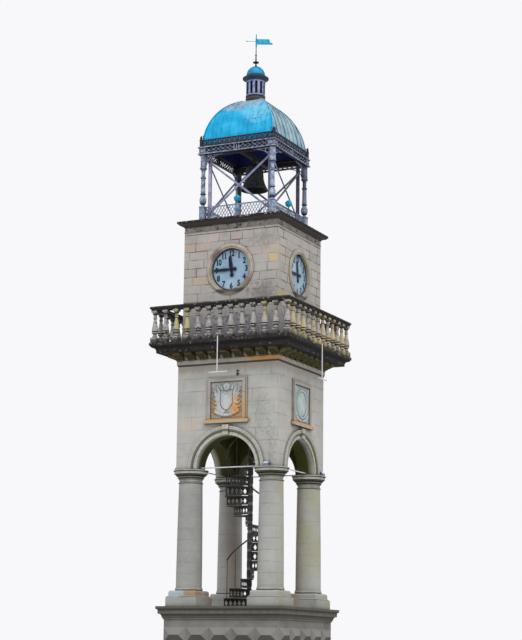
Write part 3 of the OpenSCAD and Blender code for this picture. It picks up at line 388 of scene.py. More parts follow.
# A worn spot round a place: soft at low contrast, a scatter of specks at high contrast
def spotGroup():
    tree, given = startGroup("wornSpot", "ShaderNodeTree", {"Vector": ["Point", "At", "Reach"],
                             "Float": ["Grain", "Contrast", "Bias"]}, {"Float": ["Mask"]})
    here = addNode(tree, "TexCoord").outputs["Object"]
    around = addNode(tree, "Mapping", {0: given["Point"], "Location": given["At"], "Scale": given["Reach"]},
                     vector_type="TEXTURE")
    ball = addNode(tree, "TexGradient", [around], gradient_type="SPHERICAL").outputs[1]
    rough = addNode(tree, "TexNoise", {"Vector": here, "Scale": given["Grain"], "Detail": 8.0, "Roughness": 0.62})
    over = addNode(tree, "Math", [rough, given["Bias"]], operation="SUBTRACT")
    worn = addNode(tree, "Math", [over, given["Contrast"]], operation="MULTIPLY")
    mask = addNode(tree, "Math", [ball, 1.4, worn], operation="MULTIPLY_ADD", use_clamp=True)
    edge = addNode(tree, "Math", [ball, 5.0], operation="MULTIPLY", use_clamp=True)
    addNode(tree, "NodeGroupOutput", [addNode(tree, "Math", [mask, edge], operation="MULTIPLY")])
    return tree


stoneCoursing = coursingGroup()
placeRoundTower = placeGroup()
wornLevelBand = levelGroup()
wornSpot = spotGroup()


# Every coat is a share, by a mask or a number, and a shade; these functions each return the coats of one kind of wear
# or painted shade
def spotCoats(tree, spots, centre=None):
    # spots are (place, reach, shade, strength) and, where not as usual, (grain, contrast, bias) too;
    # with a centre given, each spot tints whole stones
    coats = []
    for spot in spots:
        at, reach, shade, strength, grain, contrast, bias = spot + usual["spot"][len(spot) - 4:]
        mask = addNode(tree, "Group", {"Point": centre or addNode(tree, "TexCoord").outputs["Object"], "At": at,
                       "Reach": reach, "Grain": grain, "Contrast": contrast, "Bias": bias}, node_tree=wornSpot)
        coats.append((addNode(tree, "Math", [mask, strength], operation="MULTIPLY"), shade))
    return coats


def levelCoats(tree, levels):
    # levels are (low, high, soft edge, wear, shade, strength), in metres over the ground
    coats = []
    for low, high, soft, wear, shade, strength in levels:
        mask = addNode(tree, "Group", {"Low": low, "High": high, "Soft": soft, "Wear": wear}, node_tree=wornLevelBand)
        coats.append((addNode(tree, "Math", [mask, strength], operation="MULTIPLY"), shade))
    return coats


def speckCoats(tree, here, specks, kind):
    # specks are (amount, shade, spots per metre); a kind is a noise's roughness, two levels of it and a strength
    roughness, low, high, strength = kind
    coats = []
    for amount, shade, size in specks:
        spots = addNode(tree, "TexNoise", {"Vector": here, "Scale": size, "Detail": 9.0, "Roughness": roughness})
        more = usual["specks"] * amount
        mask = addNode(tree, "ValToRGB", [spots], stops=[(low - more, 0.0), (high - more, strength)])
        coats.append((mask, shade))
    return coats


def grimeCoat(tree, grime, openness=usual["open"]):
    # painted shade and dirt in hollows, by ambient occlusion: shade, reach in metres, strength
    shade, reach, strength = grime
    light = addNode(tree, "AmbientOcclusion", {"Distance": reach}, samples=6).outputs["AO"]
    return addNode(tree, "MapRange", [light, *openness, strength, 0.0]), shade


def layCoats(tree, colour, coats):
    for share, shade in coats:
        shade = linear(shade) if isinstance(shade, str) else shade
        colour = addNode(tree, "Mix", {0: share, 6: colour, 7: shade}, data_type="RGBA").outputs[2]
    return colour


def spreadStops(shades, low, high):
    step = (high - low) / (len(shades) - 1)
    return [(low + step * i, shade) for i, shade in enumerate(shades)]


# What all the stone has in common: scales are features per metre, pairs are the levels of a noise that a mask runs over
stoneRecipe = {"shades": (0.32, 0.68), "grain": 70.0, "grainOver": (0.3, 0.7), "grainLight": (0.84, 1.1), "deep": 0.006,
               "shine": 0.25, "broken": 2.6, "soiled": (0.5, 0.64), "shown": (0.38, 0.58), "leastShown": 0.25,
               "wedgeShow": 0.55, "wedgeShade": "#5A564E", "hollowGrain": 16.0, "hollowStray": 0.02,
               "hollowSoft": (0.004, 0.018, 0.016), "drawn": (9.0, 9.0, 0.5), "drip": (0.55, 0.95), "dripOver": 0.02,
               "dripFade": (1.3, -0.65), "crust": (0.68, 0.66, 0.74, 0.92), "patches": (0.4, 0.6), "tiltLightAndShade": 0.4}


# Limestone as cut, coursed and weathered, with painted shade and light laid over it
def limestone(name, look):
    material, tree, here = startFinish(name)
    recipe = stoneRecipe
    face, depth, insideShade = look.get("inside", (0.0, 1.0, None))
    place = addNode(tree, "Group", {"Face": face, "Depth": depth}, node_tree=placeRoundTower).outputs
    clouds = addNode(tree, "TexNoise", {"Vector": here, "Scale": look["patch"], "Detail": 7.0, "Roughness": 0.62})
    grain = addNode(tree, "TexNoise", {"Vector": here, "Scale": recipe["grain"], "Detail": 5.0, "Roughness": 0.7})
    height = grain
    coats = []
    if "row" in look:
        coursing = addNode(tree, "Group", {"Row": look["row"], "Length": look["length"], "First": look["first"],
                                           "Width": look.get("joint", 0.007)}, node_tree=stoneCoursing).outputs
        tone = addNode(tree, "ValToRGB", [coursing["Tone"]], stops=spreadStops(look["tones"], 0.0, 1.0))
        coats.append((look["toneShare"], tone))
        coats += spotCoats(tree, look.get("stones", []), coursing["Centre"])
        broken = addNode(tree, "TexNoise", {"Vector": here, "Scale": recipe["broken"], "Detail": 6.0})
        soiled = addNode(tree, "MapRange", [broken, *recipe["soiled"], 0.0, look["jointDirt"]])
        shown = addNode(tree, "MapRange", [broken, *recipe["shown"], recipe["leastShown"], look["jointShow"]])
        soil = addNode(tree, "Math", [coursing["Dirt"], soiled], operation="MULTIPLY")
        line = addNode(tree, "Math", [coursing["Joint"], shown], operation="MULTIPLY")
        coats += [(mask, look.get("jointColour", "#55504A")) for mask in (soil, line)]
        height = addNode(tree, "Math", [grain, line], operation="SUBTRACT")
    if "arc" in look:
        # the joints between the wedge stones of an arch, every few degrees about its springing
        degrees, springing, width = look["arc"]
        over = addNode(tree, "Math", [place["Level"], springing], operation="SUBTRACT")
        angle = addNode(tree, "Math", [over, place["Along"]], operation="ARCTAN2")
        step = addNode(tree, "Math", [angle, 1 / math.radians(degrees)], operation="MULTIPLY")
        edge = addNode(tree, "Math", [step, 0.5], operation="PINGPONG")
        line = addNode(tree, "MapRange", [edge, 0.0, width, recipe["wedgeShow"], 0.0])
        coats.append((line, recipe["wedgeShade"]))
    coats += levelCoats(tree, look.get("levels", []))
    if "hollow" in look:
        # painted shade and dirt in the hollow moulding of an arch: level of the centre, two radii, shade, strength
        level, near, far, shade, strength = look["hollow"]
        over = addNode(tree, "Math", [place["Level"], level], operation="SUBTRACT")
        flat = addNode(tree, "CombineXYZ", [place["Along"], over])
        radius = addNode(tree, "VectorMath", [flat], operation="LENGTH").outputs[1]
        drawn = addNode(tree, "TexNoise", {"Vector": here, "Scale": recipe["hollowGrain"], "Detail": 7.0})
        radius = addNode(tree, "Math", [drawn, recipe["hollowStray"], radius], operation="MULTIPLY_ADD")
        start, full, fade = recipe["hollowSoft"]
        first = addNode(tree, "MapRange", [radius, near + start, near + full, 0.0, strength])
        last = addNode(tree, "MapRange", [radius, far, far + fade, 1.0, 0.0])
        coats.append((addNode(tree, "Math", [first, last], operation="MULTIPLY"), shade))
    for top, long, shade, strength in look.get("drips", []):
        # dark water marks that start under a ledge and thin out downwards
        fade = addNode(tree, "MapRange", [place["Level"], top - long, top, 0.0, 1.0])
        drawn = addNode(tree, "Mapping", {0: here, "Scale": recipe["drawn"]})
        streaks = addNode(tree, "TexNoise", {"Vector": drawn, "Scale": 1.0, "Detail": 6.0})
        mask = addNode(tree, "Math", [fade, *recipe["dripFade"]], operation="MULTIPLY_ADD")
        mask = addNode(tree, "Math", [streaks, mask], operation="ADD")
        mask = addNode(tree, "MapRange", [mask, *recipe["drip"], 0.0, strength])
        under = addNode(tree, "Math", [place["Level"], top + recipe["dripOver"]], operation="LESS_THAN")
        coats.append((addNode(tree, "Math", [mask, under], operation="MULTIPLY"), shade))
    coats += speckCoats(tree, here, look.get("crust", []), recipe["crust"])
    coats += spotCoats(tree, look.get("stainsAndPaintedLight", []))
    if "right" in look:
        # what only the tower's right side has: shade, strength, patches per metre
        shade, strength, size = look["right"]
        patches = addNode(tree, "TexNoise", {"Vector": here, "Scale": size, "Detail": 7.0})
        share = addNode(tree, "MapRange", [patches, *recipe["patches"], 0.0, strength])
        coats.append((addNode(tree, "Math", [share, place["Right"]], operation="MULTIPLY"), shade))
    if "tiltLightAndShade" in look:
        # painted light and shade: faces that look down are painted darker and those that look up lighter
        (low, lowShare, high, highShare), full = look["tiltLightAndShade"], recipe["tiltLightAndShade"]
        facing = addNode(tree, "SeparateXYZ", [addNode(tree, "TexCoord").outputs["Normal"]]).outputs[2]
        for edge, shade, share in ((-full, low, lowShare), (full, high, highShare)):
            coats.append((addNode(tree, "MapRange", [facing, 0.0, edge, 0.0, share]), shade))
    if insideShade:
        # painted shade behind the wall's face, darker further in
        insideShade = layCoats(tree, linear(insideShade), [(clouds, look.get("deepInsideShade", "#18140D"))])
        coats.append((place["Inside"], insideShade))
    # painted shade on faces that look down
    if "under" in look:
        coats.append((place["Down"], look["under"]))
    # painted shade and dirt in the hollows of all stone
    coats.append(grimeCoat(tree, look.get("grime", ("#4A463C", 0.09, 0.75)), look.get("open", usual["open"])))
    shades = addNode(tree, "ValToRGB", [clouds], stops=spreadStops(look["shades"], *recipe["shades"]))
    colour = layCoats(tree, shades, coats)
    light = addNode(tree, "MapRange", [grain, *recipe["grainOver"], *recipe["grainLight"]])
    colour = addNode(tree, "Mix", {0: 1.0, 6: colour, 7: light}, data_type="RGBA", blend_type="MULTIPLY").outputs[2]
    bump = addNode(tree, "Bump", {"Strength": look.get("bump", 0.6), "Distance": recipe["deep"], "Height": height})
    endFinish(tree, {"Base Color": colour, "Roughness": look.get("roughness", 0.88),
                     "Specular IOR Level": recipe["shine"], "Normal": bump})
    return material


# What all the painted metal has in common
paintRecipe = {"shades": (0.34, 0.66), "streak": (0.5, 0.78), "rust": (0.7, 0.68, 0.73, 0.95), "inner": -0.02,
               "wornOver": (0.3, 0.7), "worn": (-0.08, 0.1), "grain": 160.0, "deep": 0.002}


# Oil paint on iron or sheet metal, chalking, streaked and rusting, with painted shade laid over it
def paintedMetal(name, look):
    material, tree, here = startFinish(name)
    recipe = paintRecipe
    place = addNode(tree, "Group", node_tree=placeRoundTower).outputs
    cloud = addNode(tree, "TexNoise", {"Vector": here, "Scale": look.get("patch", 9.0), "Detail": 7.0})
    coats = []
    if "rightShades" in look:
        bleached = addNode(tree, "ValToRGB", [cloud], stops=spreadStops(look["rightShades"], *recipe["shades"]))
        coats.append((place["Right"], bleached))
    if "streak" in look:
        amount, shade, drawn = look["streak"]
        drawn = addNode(tree, "Mapping", {0: here, "Scale": drawn})
        streaks = addNode(tree, "TexNoise", {"Vector": drawn, "Scale": 1.0, "Detail": 7.0, "Roughness": 0.6})
        coats.append((addNode(tree, "MapRange", [streaks, *recipe["streak"], 0.0, amount]), shade))
    coats += speckCoats(tree, here, look.get("rust", []), recipe["rust"])
    coats += spotCoats(tree, look.get("stainsAndPaintedLight", [])) + levelCoats(tree, look.get("levels", []))
    # painted shade on faces that look down
    if "under" in look:
        coats.append((place["Down"], look["under"]))
    if "innerShade" in look:
        # painted shade on the inner face of a shell, which never sees the sun, and on faces that look down
        inner = addNode(tree, "Math", [place["Radial"], recipe["inner"]], operation="LESS_THAN")
        coats.append((addNode(tree, "Math", [inner, place["Down"]], operation="MAXIMUM"), look["innerShade"]))
    # painted shade and dirt in the hollows of all painted metal
    coats.append(grimeCoat(tree, look.get("grime", ("#1D1D24", 0.05, 0.7))))
    shades = addNode(tree, "ValToRGB", [cloud], stops=spreadStops(look["shades"], *recipe["shades"]))
    rough = [look["roughness"] + more for more in recipe["worn"]]
    worn = addNode(tree, "MapRange", [cloud, *recipe["wornOver"], *rough])
    grain = addNode(tree, "TexNoise", {"Vector": here, "Scale": recipe["grain"], "Detail": 3.0})
    bump = addNode(tree, "Bump", {"Strength": look.get("bump", 0.25), "Distance": recipe["deep"], "Height": grain})
    endFinish(tree, {"Base Color": layCoats(tree, shades, coats), "Roughness": worn, "Normal": bump,
                     "Specular IOR Level": look.get("shine", 0.25), "Metallic": look.get("metallic", 0.0)})
    return material


# Each gives the eye one finish of the tower, painted shade and light included; hex shades are read from the photograph
# and evened out. patch is clouds per metre; row, length and first are the height of a course, the length of a stone and
# the level of a joint; arc is degrees, springing and joint; inside is face, depth and painted shade; tilt is painted
# shade and share of faces looking down, then painted light and share of those looking up; under is the painted shade of
# faces that look down
stoneLooks = {
    # smooth sawn blocks in rows of 0.30 m over the arches, with painted shade, dark and green, inside
    "sawnLimestone": {
        "shades": ["#94948F", "#A3A29D", "#ABAAA5", "#B4B2AC"], "patch": 1.9, "row": 0.303, "length": 0.62,
        "first": 5.73, "tones": ["#A0A09E", "#ABAAA6", "#B0AEA9", "#B5ACA4", "#B0AA99"], "jointShow": 0.55,
        "toneShare": 0.35, "jointDirt": 0.22, "inside": (1.297, 0.16, "#4F4E16"), "crust": [(0.0, "#75736E", 16.0)],
        "levels": [(7.97, 8.13, 0.05, 0.06, "#B3A28C", 0.45)], "drips": [(8.15, 0.45, "#77746D", 0.3)],
        "stainsAndPaintedLight": [((0.86, -1.3, 7.0), (0.34, 0.3, 0.75), "#75736F", 0.35, 14.0, 4.0, 0.56),
            ((1.12, -1.3, 6.2), (0.22, 0.3, 0.8), "#6F6D68", 0.4, 14.0, 5.0, 0.58),
            ((-0.98, -1.3, 6.75), (0.3, 0.3, 0.5), "#BCA48C", 0.3, 6.0, 4.0, 0.5)]},
    # the arch rings, with radial joints, painted shade with olive dirt in the hollow moulding, olive painted shade
    # underneath
    "archLimestone": {
        "shades": ["#9C9A8E", "#ACAAA1", "#B8B6AD"], "patch": 1.4, "arc": (11.25, 5.73, 0.045), "under": "#6F6C48",
        "hollow": (5.73, 0.839, 0.9, "#4D4D43", 0.85), "grime": ("#4A4730", 0.07, 0.95),
        "crust": [(0.14, "#70705A", 9.0)]},
    # the clock storey: rows of 0.205 m in grey, pink and ochre, broken dark joints, darker at the foot behind the
    # balusters;
    # painted shade on the inner faces
    "coursedLimestone": {
        "shades": ["#938F88", "#A39F99", "#ABA6A0", "#B2ADA7"], "patch": 2.2, "row": 0.205, "length": 0.42,
        "first": 8.67, "tones": ["#918E8B", "#A3A09C", "#ABA7A1", "#B0A097", "#AFA28C"], "jointShow": 1.0,
        "jointColour": "#332F2D", "joint": 0.009, "toneShare": 0.4, "jointDirt": 0.6,
        "inside": (1.0, 0.1, "#35301F"), "bump": 0.8, "grime": ("#26221F", 0.07, 0.9), "open": (0.4, 0.96),
        "levels": [(11.335, 11.352, 0.004, 0.008, "#38332F", 0.95), (8.6, 9.5, 0.25, 0.2, "#8D8A93", 0.6),
            (8.5, 8.86, 0.08, 0.12, "#262423", 0.75)], "crust": [(0.03, "#3D3A38", 18.0)],
        "stones": [((1.2, -1.2, 10.72), (0.3, 0.3, 0.14), "#CFB35F", 0.85),
            ((1.23, 0.3, 10.83), (0.3, 0.3, 0.12), "#BFAE6A", 0.6),
            ((-1.0, -1.23, 11.03), (0.3, 0.3, 0.14), "#B0917F", 0.5),
            ((-0.95, -1.23, 10.2), (0.3, 0.3, 0.14), "#B59B7B", 0.5),
            ((0.2, -1.23, 11.2), (0.4, 0.3, 0.12), "#A99093", 0.5),
            ((1.23, -0.9, 9.8), (0.3, 0.4, 0.14), "#B9A96F", 0.5)],
        "stainsAndPaintedLight": [((0.8, -1.23, 9.85), (0.6, 0.2, 0.35), "#625F5C", 0.6, 12.0, 3.5, 0.56),
            ((0.9, -1.23, 11.1), (0.5, 0.2, 0.3), "#7C7671", 0.5, 9.0, 3.5, 0.56),
            ((0.0, -1.23, 9.25), (1.5, 0.2, 0.45), "#4E4B62", 0.7, 13.0, 9.0, 0.6)]},
    # grey plinth blocks with black runs, painted shade in their hollows and undersides, painted light on their upper
    # facets
    "plinthLimestone": {
        "shades": ["#686661", "#75736E", "#7E7C77"], "patch": 2.2, "crust": [(0.1, "#4A4843", 9.0)],
        "tiltLightAndShade": ("#3E3D36", 0.8, "#8A8986", 0.45), "grime": ("#2F2E22", 0.09, 0.9),
        "levels": [(2.31, 2.62, 0.03, 0.05, "#55543F", 0.55)], "drips": [(2.62, 0.5, "#3F3E39", 0.5)]},
    # smooth column drums, their joints 0.26 m apart; painted shade darkens the front left one and browns the faces
    # turned inside
    "columnLimestone": {
        "shades": ["#8D8D89", "#9C9C98", "#A6A6A1"], "patch": 1.8, "row": 0.26, "length": 9.0, "first": 3.08,
        "tones": ["#939390", "#A0A09C", "#A5A49C"], "jointShow": 0.4, "toneShare": 0.35, "jointDirt": 0.2,
        # painted shade: the front left column is painted darker
        "stainsAndPaintedLight": [((-1.0, -1.0, 4.3), (0.6, 0.6, 2.4), "#7D7D7A", 0.5),
            ((-1.25, -1.3, 2.9), (0.3, 0.4, 0.12), "#A4ACB6", 0.9, 6.0, 3.0),
            ((-0.8, -1.3, 2.9), (0.22, 0.4, 0.1), "#9C8060", 0.9, 6.0, 3.0)],
        "levels": [(2.955, 2.985, 0.008, 0.03, "#3A352C", 0.8), (2.8, 2.83, 0.008, 0.02, "#4A453A", 0.7)],
        "crust": [(0.02, "#6C6A62", 14.0)], "right": ("#97946F", 0.5, 1.6), "inside": (1.06, 0.5, "#8A715A"),
        "deepInsideShade": "#7D644D"},
    # capitals with painted shade, olive in their hollows and dark under each ledge, and painted light on top
    "capitalLimestone": {
        "shades": ["#8F8F86", "#A6A69E", "#B4B3AC"], "patch": 4.0, "under": "#2B2918",
        "grime": ("#26240F", 0.085, 1.0), "open": (0.5, 0.99), "crust": [(0.2, "#5E5D3F", 9.0)],
        "tiltLightAndShade": ("#2E2C1C", 0.8, "#B9B8B0", 0.3)},
    # the roof cornice: wall stone with soot on its top moulding, and dark lines of painted shade in its hollows and
    # underneath
    "corniceLimestone": {
        "shades": ["#6F6962", "#87817A", "#989289"], "patch": 4.0, "bump": 0.9, "under": "#45403B",
        "crust": [(0.33, "#2A2724", 11.0), (0.1, "#B7B2A8", 16.0)],
        "levels": [(11.53, 12.0, 0.015, 0.1, "#1B1918", 0.96)],
        "stainsAndPaintedLight": [((x, -1.4, 11.66), (0.5, 0.3, 0.07), "#A8A49B", 0.9, 13.0, 10.0, 0.62)
                   for x in (-1.2, -0.4, 0.4, 1.2)],
        "grime": ("#1F1C19", 0.06, 1.0), "open": (0.45, 0.98)},
    # slab and rail, black with soot, white remains of the stone on their edges, painted shade underneath
    "blackenedLimestone": {
        "shades": ["#3B3836", "#2C2A2A", "#1F1D20"], "patch": 5.0, "roughness": 0.95, "bump": 0.9,
        "crust": [(0.28, "#161518", 7.0), (0.19, "#ABA79E", 13.0)], "under": "#1A1714"},
    # the string course: wall stone washed with ochre near the front corner, with painted shade, black, underneath
    "stringLimestone": {
        "shades": ["#958D81", "#A49C90", "#ADA599"], "patch": 4.0, "under": "#231F1B",
        "crust": [(0.1, "#534B40", 11.0)], "grime": ("#231F19", 0.05, 1.0), "open": (0.45, 0.97),
        "stainsAndPaintedLight": [((1.0, -1.33, 8.22), (0.6, 0.3, 0.16), "#BC8C50", 0.9, 6.0, 3.0, 0.45)]},
    # grey balusters with dark rings of painted shade under their ledges and in hollows, painted light on top; lichen on
    # some of the front ones, ochre on all of the right side
    "balusterLimestone": {
        "shades": ["#7A7876", "#93918E", "#A09E9A", "#615E5B"], "patch": 5.0, "crust": [(0.36, "#2A2828", 15.0),
            (0.1, "#C9C6C0", 20.0)], "under": "#1D1B18", "tiltLightAndShade": ("#1F1D1A", 0.75, "#BFBCB4", 0.3),
        "right": ("#BDAA74", 0.8, 2.4), "grime": ("#191715", 0.085, 1.0), "open": (0.5, 0.99),
        "levels": [(8.5, 8.8, 0.04, 0.12, "#1D1B1A", 0.75)],
        "stainsAndPaintedLight": [((-0.92, -1.72, 9.2), (0.32, 0.3, 0.5), "#AFA451", 0.85, 12.0, 5.0, 0.48),
            ((1.28, -1.72, 9.3), (0.2, 0.3, 0.4), "#B5A656", 0.8, 12.0, 5.0, 0.48)]},
    # carved panels with painted shade, pale on top and grey in their depth; ochre washed into the lower corners
    "carvedLimestone": {
        "shades": ["#A4A7A7", "#B7BABA", "#C6C8C7"], "patch": 5.0, "grime": ("#2A2820", 0.03, 1.0),
        "open": (0.5, 0.98), "inside": (1.34, 0.05, "#8C8B85"), "deepInsideShade": "#6D675A",
        "stainsAndPaintedLight": [((0.33, -1.29, 6.98), (0.3, 0.3, 0.55), "#C88E4A", 0.95, 16.0, 4.0, 0.45),
            ((-0.36, -1.29, 7.1), (0.14, 0.3, 0.4), "#B79650", 0.9, 16.0, 4.0, 0.45)]},
    # pale blue-grey wash on the oval medallions, with painted shade greyer in their depth
    "medallionWash": {
        "shades": ["#9AA9A8", "#B0BDBC", "#C2CBC9"], "patch": 6.0, "grime": ("#333D37", 0.035, 1.0),
        "open": (0.5, 0.98), "inside": (1.34, 0.05, "#8A9694"), "deepInsideShade": "#66726E"},
    # the rings round the dials, beige, with painted shade and some dirt, black on their inner edge and at the foot
    "ringSandstone": {
        "shades": ["#8F8376", "#A69B8E", "#B1A79C"], "patch": 4.0, "grime": ("#241F1D", 0.06, 1.0),
        "open": (0.45, 0.98), "crust": [(0.1, "#4D463F", 12.0)],
        # painted shade with some dirt: a dark line at the ring's foot, darker patches at its upper left and lower right
        "levels": [(9.85, 9.965, 0.02, 0.05, "#221F1D", 0.75)],
        "stainsAndPaintedLight": [((-0.36, -1.27, 10.8), (0.2, 0.3, 0.25), "#5C4A40", 0.7),
            ((0.45, -1.27, 10.1), (0.25, 0.3, 0.3), "#6E5B4E", 0.6)]},
    # frames of the panels in wall stone, their sills washed with ochre, painted shade underneath and in the hollows
    "sillLimestone": {
        "shades": ["#918B81", "#A09A90", "#A8A299"], "patch": 4.0, "under": "#2A2114",
        "grime": ("#322B1A", 0.06, 1.0), "levels": [(6.79, 6.9, 0.02, 0.05, "#C3976A", 0.8)],
        "crust": [(0.08, "#5B5547", 12.0)], "stainsAndPaintedLight": [((0.5, -1.33, 7.1), (0.1, 0.2, 0.4), "#B9925F", 0.8)]},
    # olive-brown brackets under the balcony, with painted shade underneath and in their hollows
    "bracketLimestone": {
        "shades": ["#5B4E33", "#7C663A", "#4A442A"], "patch": 6.0, "crust": [(0.25, "#2F2A20", 10.0)],
        "under": "#33301C", "right": ("#75743C", 0.7, 2.0), "grime": ("#191710", 0.09, 1.0)},
}
metalLooks = {
    # the enamelled dial plates, with painted shade near their rings
    "dialEnamel": {
        "shades": ["#7B96AB", "#8BA6BA", "#9DB4C5"], "patch": 3.0, "roughness": 0.35, "bump": 0.04, "shine": 0.4,
        "grime": ("#1C2438", 0.07, 0.8)},
    # hands and figures of the dials
    "navyEnamel": {
        "shades": ["#0B0D22", "#12152C"], "roughness": 0.45, "bump": 0.08},
    # the belfry's iron in lilac-grey paint, darker on the right-hand braces
    "lilacIronPaint": {
        "shades": ["#5F6880", "#7C849F", "#9098B0"], "rust": [(0.14, "#3A3234", 24.0)], "roughness": 0.6,
        "stainsAndPaintedLight": [((0.85, 0.1, 12.8), (0.2, 0.75, 1.2), "#2A262C", 0.85, 6.0, 1.6, 0.3)]},
    # frieze and its rivets: the same paint, darker in the lattice, with painted shade near black on the inner faces
    "friezeIronPaint": {
        "shades": ["#4C5467", "#7A8298", "#9CA3B8"], "patch": 14.0, "rust": [(0.18, "#24212A", 22.0)],
        "innerShade": "#15151F", "roughness": 0.6, "grime": ("#14151E", 0.05, 1.0)},
    # the bell frame's paint, more purple, with painted shade: brown-black on the back left post, navy-dark on the back
    # right one, darker on the front right one
    "purpleIronPaint": {
        "shades": ["#85839C", "#9C9AB1", "#ABA9BE"], "rust": [(0.08, "#3A3234", 20.0)],
        # painted shade on three corner posts
        "stainsAndPaintedLight": [((-0.77, 0.77, 12.8), (0.3, 0.3, 4.0), "#221C28", 0.95, 6.0, 1.6, 0.1),
            ((0.77, 0.77, 12.8), (0.3, 0.3, 4.0), "#2D2E46", 0.9, 6.0, 1.6, 0.1),
            ((0.77, -0.77, 12.8), (0.3, 0.3, 4.0), "#4B4B66", 0.8, 6.0, 1.6, 0.1)], "roughness": 0.6},
    # columns, bluish white where washed, with painted shade in the hollows and underneath
    "paleIronPaint": {
        "shades": ["#5E6A83", "#8390A7", "#A8B4C5"], "patch": 12.0, "rust": [(0.24, "#2C2B34", 18.0)],
        "stainsAndPaintedLight": [((0.93, 0.93, 12.9), (0.3, 0.3, 1.0), "#25232C", 0.9, 12.0, 6.0, 0.55),
            ((-0.93, -0.93, 12.9), (0.3, 0.3, 0.8), "#34343F", 0.7, 14.0, 8.0, 0.58)], "roughness": 0.6,
        "grime": ("#12141E", 0.06, 1.0), "under": "#1C2030"},
    # the cresting: blue-black with lilac left in places, red rust at the middle of the front
    "rustyIron": {
        "shades": ["#20212B", "#33333F", "#1B1B22"], "rust": [(0.22, "#6E6F86", 14.0), (0.12, "#5A3428", 10.0)],
        "stainsAndPaintedLight": [((-0.15, -1.0, 13.7), (0.4, 0.2, 0.2), "#4C2824", 0.75)], "roughness": 0.85, "bump": 0.8},
    # beams, floor edge and clamps
    "blackIron": {
        "shades": ["#18181B", "#232327", "#1D1C1F"], "rust": [(0.12, "#3A2A22", 20.0)], "roughness": 0.7, "bump": 0.5},
    # the spiral stair in worn grey-black paint
    "stairIronPaint": {
        "shades": ["#2B2B28", "#3C3C38", "#4F4E48"], "rust": [(0.12, "#57412F", 20.0)], "roughness": 0.7},
    # the stair's pole, greyer than its steps
    "polePaint": {
        "shades": ["#4A4E48", "#62685F", "#757A70"], "rust": [(0.1, "#3A3028", 20.0)], "roughness": 0.7},
    # the slate-blue cornice of the lantern
    "slateIronPaint": {
        "shades": ["#22303F", "#324252", "#282C3C"], "rust": [(0.14, "#5A5066", 16.0)], "roughness": 0.75,
        "bump": 0.5},
    # the lantern drum: lilac, with painted shade dark in the slots, with a rust-brown ring round its foot
    "drumIronPaint": {
        "shades": ["#5A6A8C", "#7A8BB0", "#96A6CA"], "patch": 9.0, "rust": [(0.1, "#332C34", 28.0)],
        "levels": [(14.7, 15.035, 0.012, 0.03, "#48362F", 0.95), (14.7, 14.925, 0.01, 0.03, "#1D1718", 0.9),
            (15.0, 15.045, 0.008, 0.02, "#221B1D", 0.9)], "innerShade": "#141626", "roughness": 0.6},
    # rust-brown louvre blades behind the drum's slots
    "rustLouvre": {
        "shades": ["#1B1520", "#33232A", "#4A3027"], "patch": 8.0, "rust": [(0.15, "#6A3A22", 18.0)],
        "roughness": 0.85, "bump": 0.6},
    # the dome's sheets: bright on the front with a painted highlight, bleached on the right, painted shade along the
    # seams and navy inside
    "cyanSheetPaint": {
        "shades": ["#1194C4", "#1DA6D4", "#3AB0D8"], "rightShades": ["#7794A2", "#8DA9B5", "#A3BBC4"], "patch": 3.0,
        "streak": (0.55, "#2A7594", (9.0, 9.0, 1.2)),
        # painted highlight: a pale cyan sheen on the right of the front
        "stainsAndPaintedLight": [((0.45, -0.7, 14.5), (0.6, 0.5, 0.6), "#7FC6DC", 0.6, 6.0, 3.5, 0.5),
            ((-0.1, -0.4, 14.8), (0.85, 0.6, 0.4), "#97A3AE", 0.8, 6.0, 4.0, 0.44),
            ((-0.3, -0.55, 14.75), (0.75, 0.5, 0.4), "#33445A", 0.8, 16.0, 12.0, 0.6),
            ((0.55, -0.85, 14.3), (0.5, 0.5, 0.6), "#23506A", 0.7, 16.0, 12.0, 0.64),
            ((-0.6, -0.9, 14.2), (0.7, 0.4, 0.6), "#0D5F86", 0.6, 16.0, 12.0, 0.68),
            ((0.7, -0.2, 14.5), (0.5, 0.9, 0.5), "#4F6A78", 0.6, 9.0, 8.0, 0.58)], "innerShade": "#2A3674",
        "roughness": 0.6, "shine": 0.15, "grime": ("#16405A", 0.03, 0.4)},
    # the dark seams where the right side's paint has bleached
    "darkSeamPaint": {
        "shades": ["#2F4552", "#5C7480", "#8299A3"], "patch": 3.0, "roughness": 0.7},
    # the small dome, cyan all round with dark specks and a navy painted shade inside
    "smallDomePaint": {
        "shades": ["#08729F", "#0F89B6", "#249EC6"], "patch": 7.0, "rust": [(0.1, "#123B58", 22.0)],
        "levels": [(15.74, 16.2, 0.03, 0.06, "#17303F", 0.8)], "innerShade": "#141C48", "roughness": 0.55},
    # small pieces in the same cyan
    "cyanPaint": {
        "shades": ["#1480A4", "#2098BC", "#34AECC"], "rust": [(0.1, "#1D3644", 30.0)], "roughness": 0.5},
    # the bell's dark bronze, dull with a little green
    "bellBronze": {
        "shades": ["#23252C", "#2E3036", "#3A3B3A"], "rust": [(0.12, "#4A4B42", 12.0)], "roughness": 0.6,
        "metallic": 0.3},
    # rods once white
    "whiteRodPaint": {
        "shades": ["#B9B9BC", "#D2D2D4"], "rust": [(0.08, "#8A7868", 30.0)], "roughness": 0.55},
    # the floodlights' grey paint
    "lampPaint": {
        "shades": ["#5F6B7C", "#75818F"], "roughness": 0.5},
    # their pale glass, the one smooth shine on the tower
    "lampGlass": {
        "shades": ["#B9C6DA", "#CBD5E4"], "roughness": 0.15, "shine": 0.5, "bump": 0.02},
}
finish = {name: limestone(name, look) for name, look in stoneLooks.items()}
finish.update({name: paintedMetal(name, look) for name, look in metalLooks.items()})
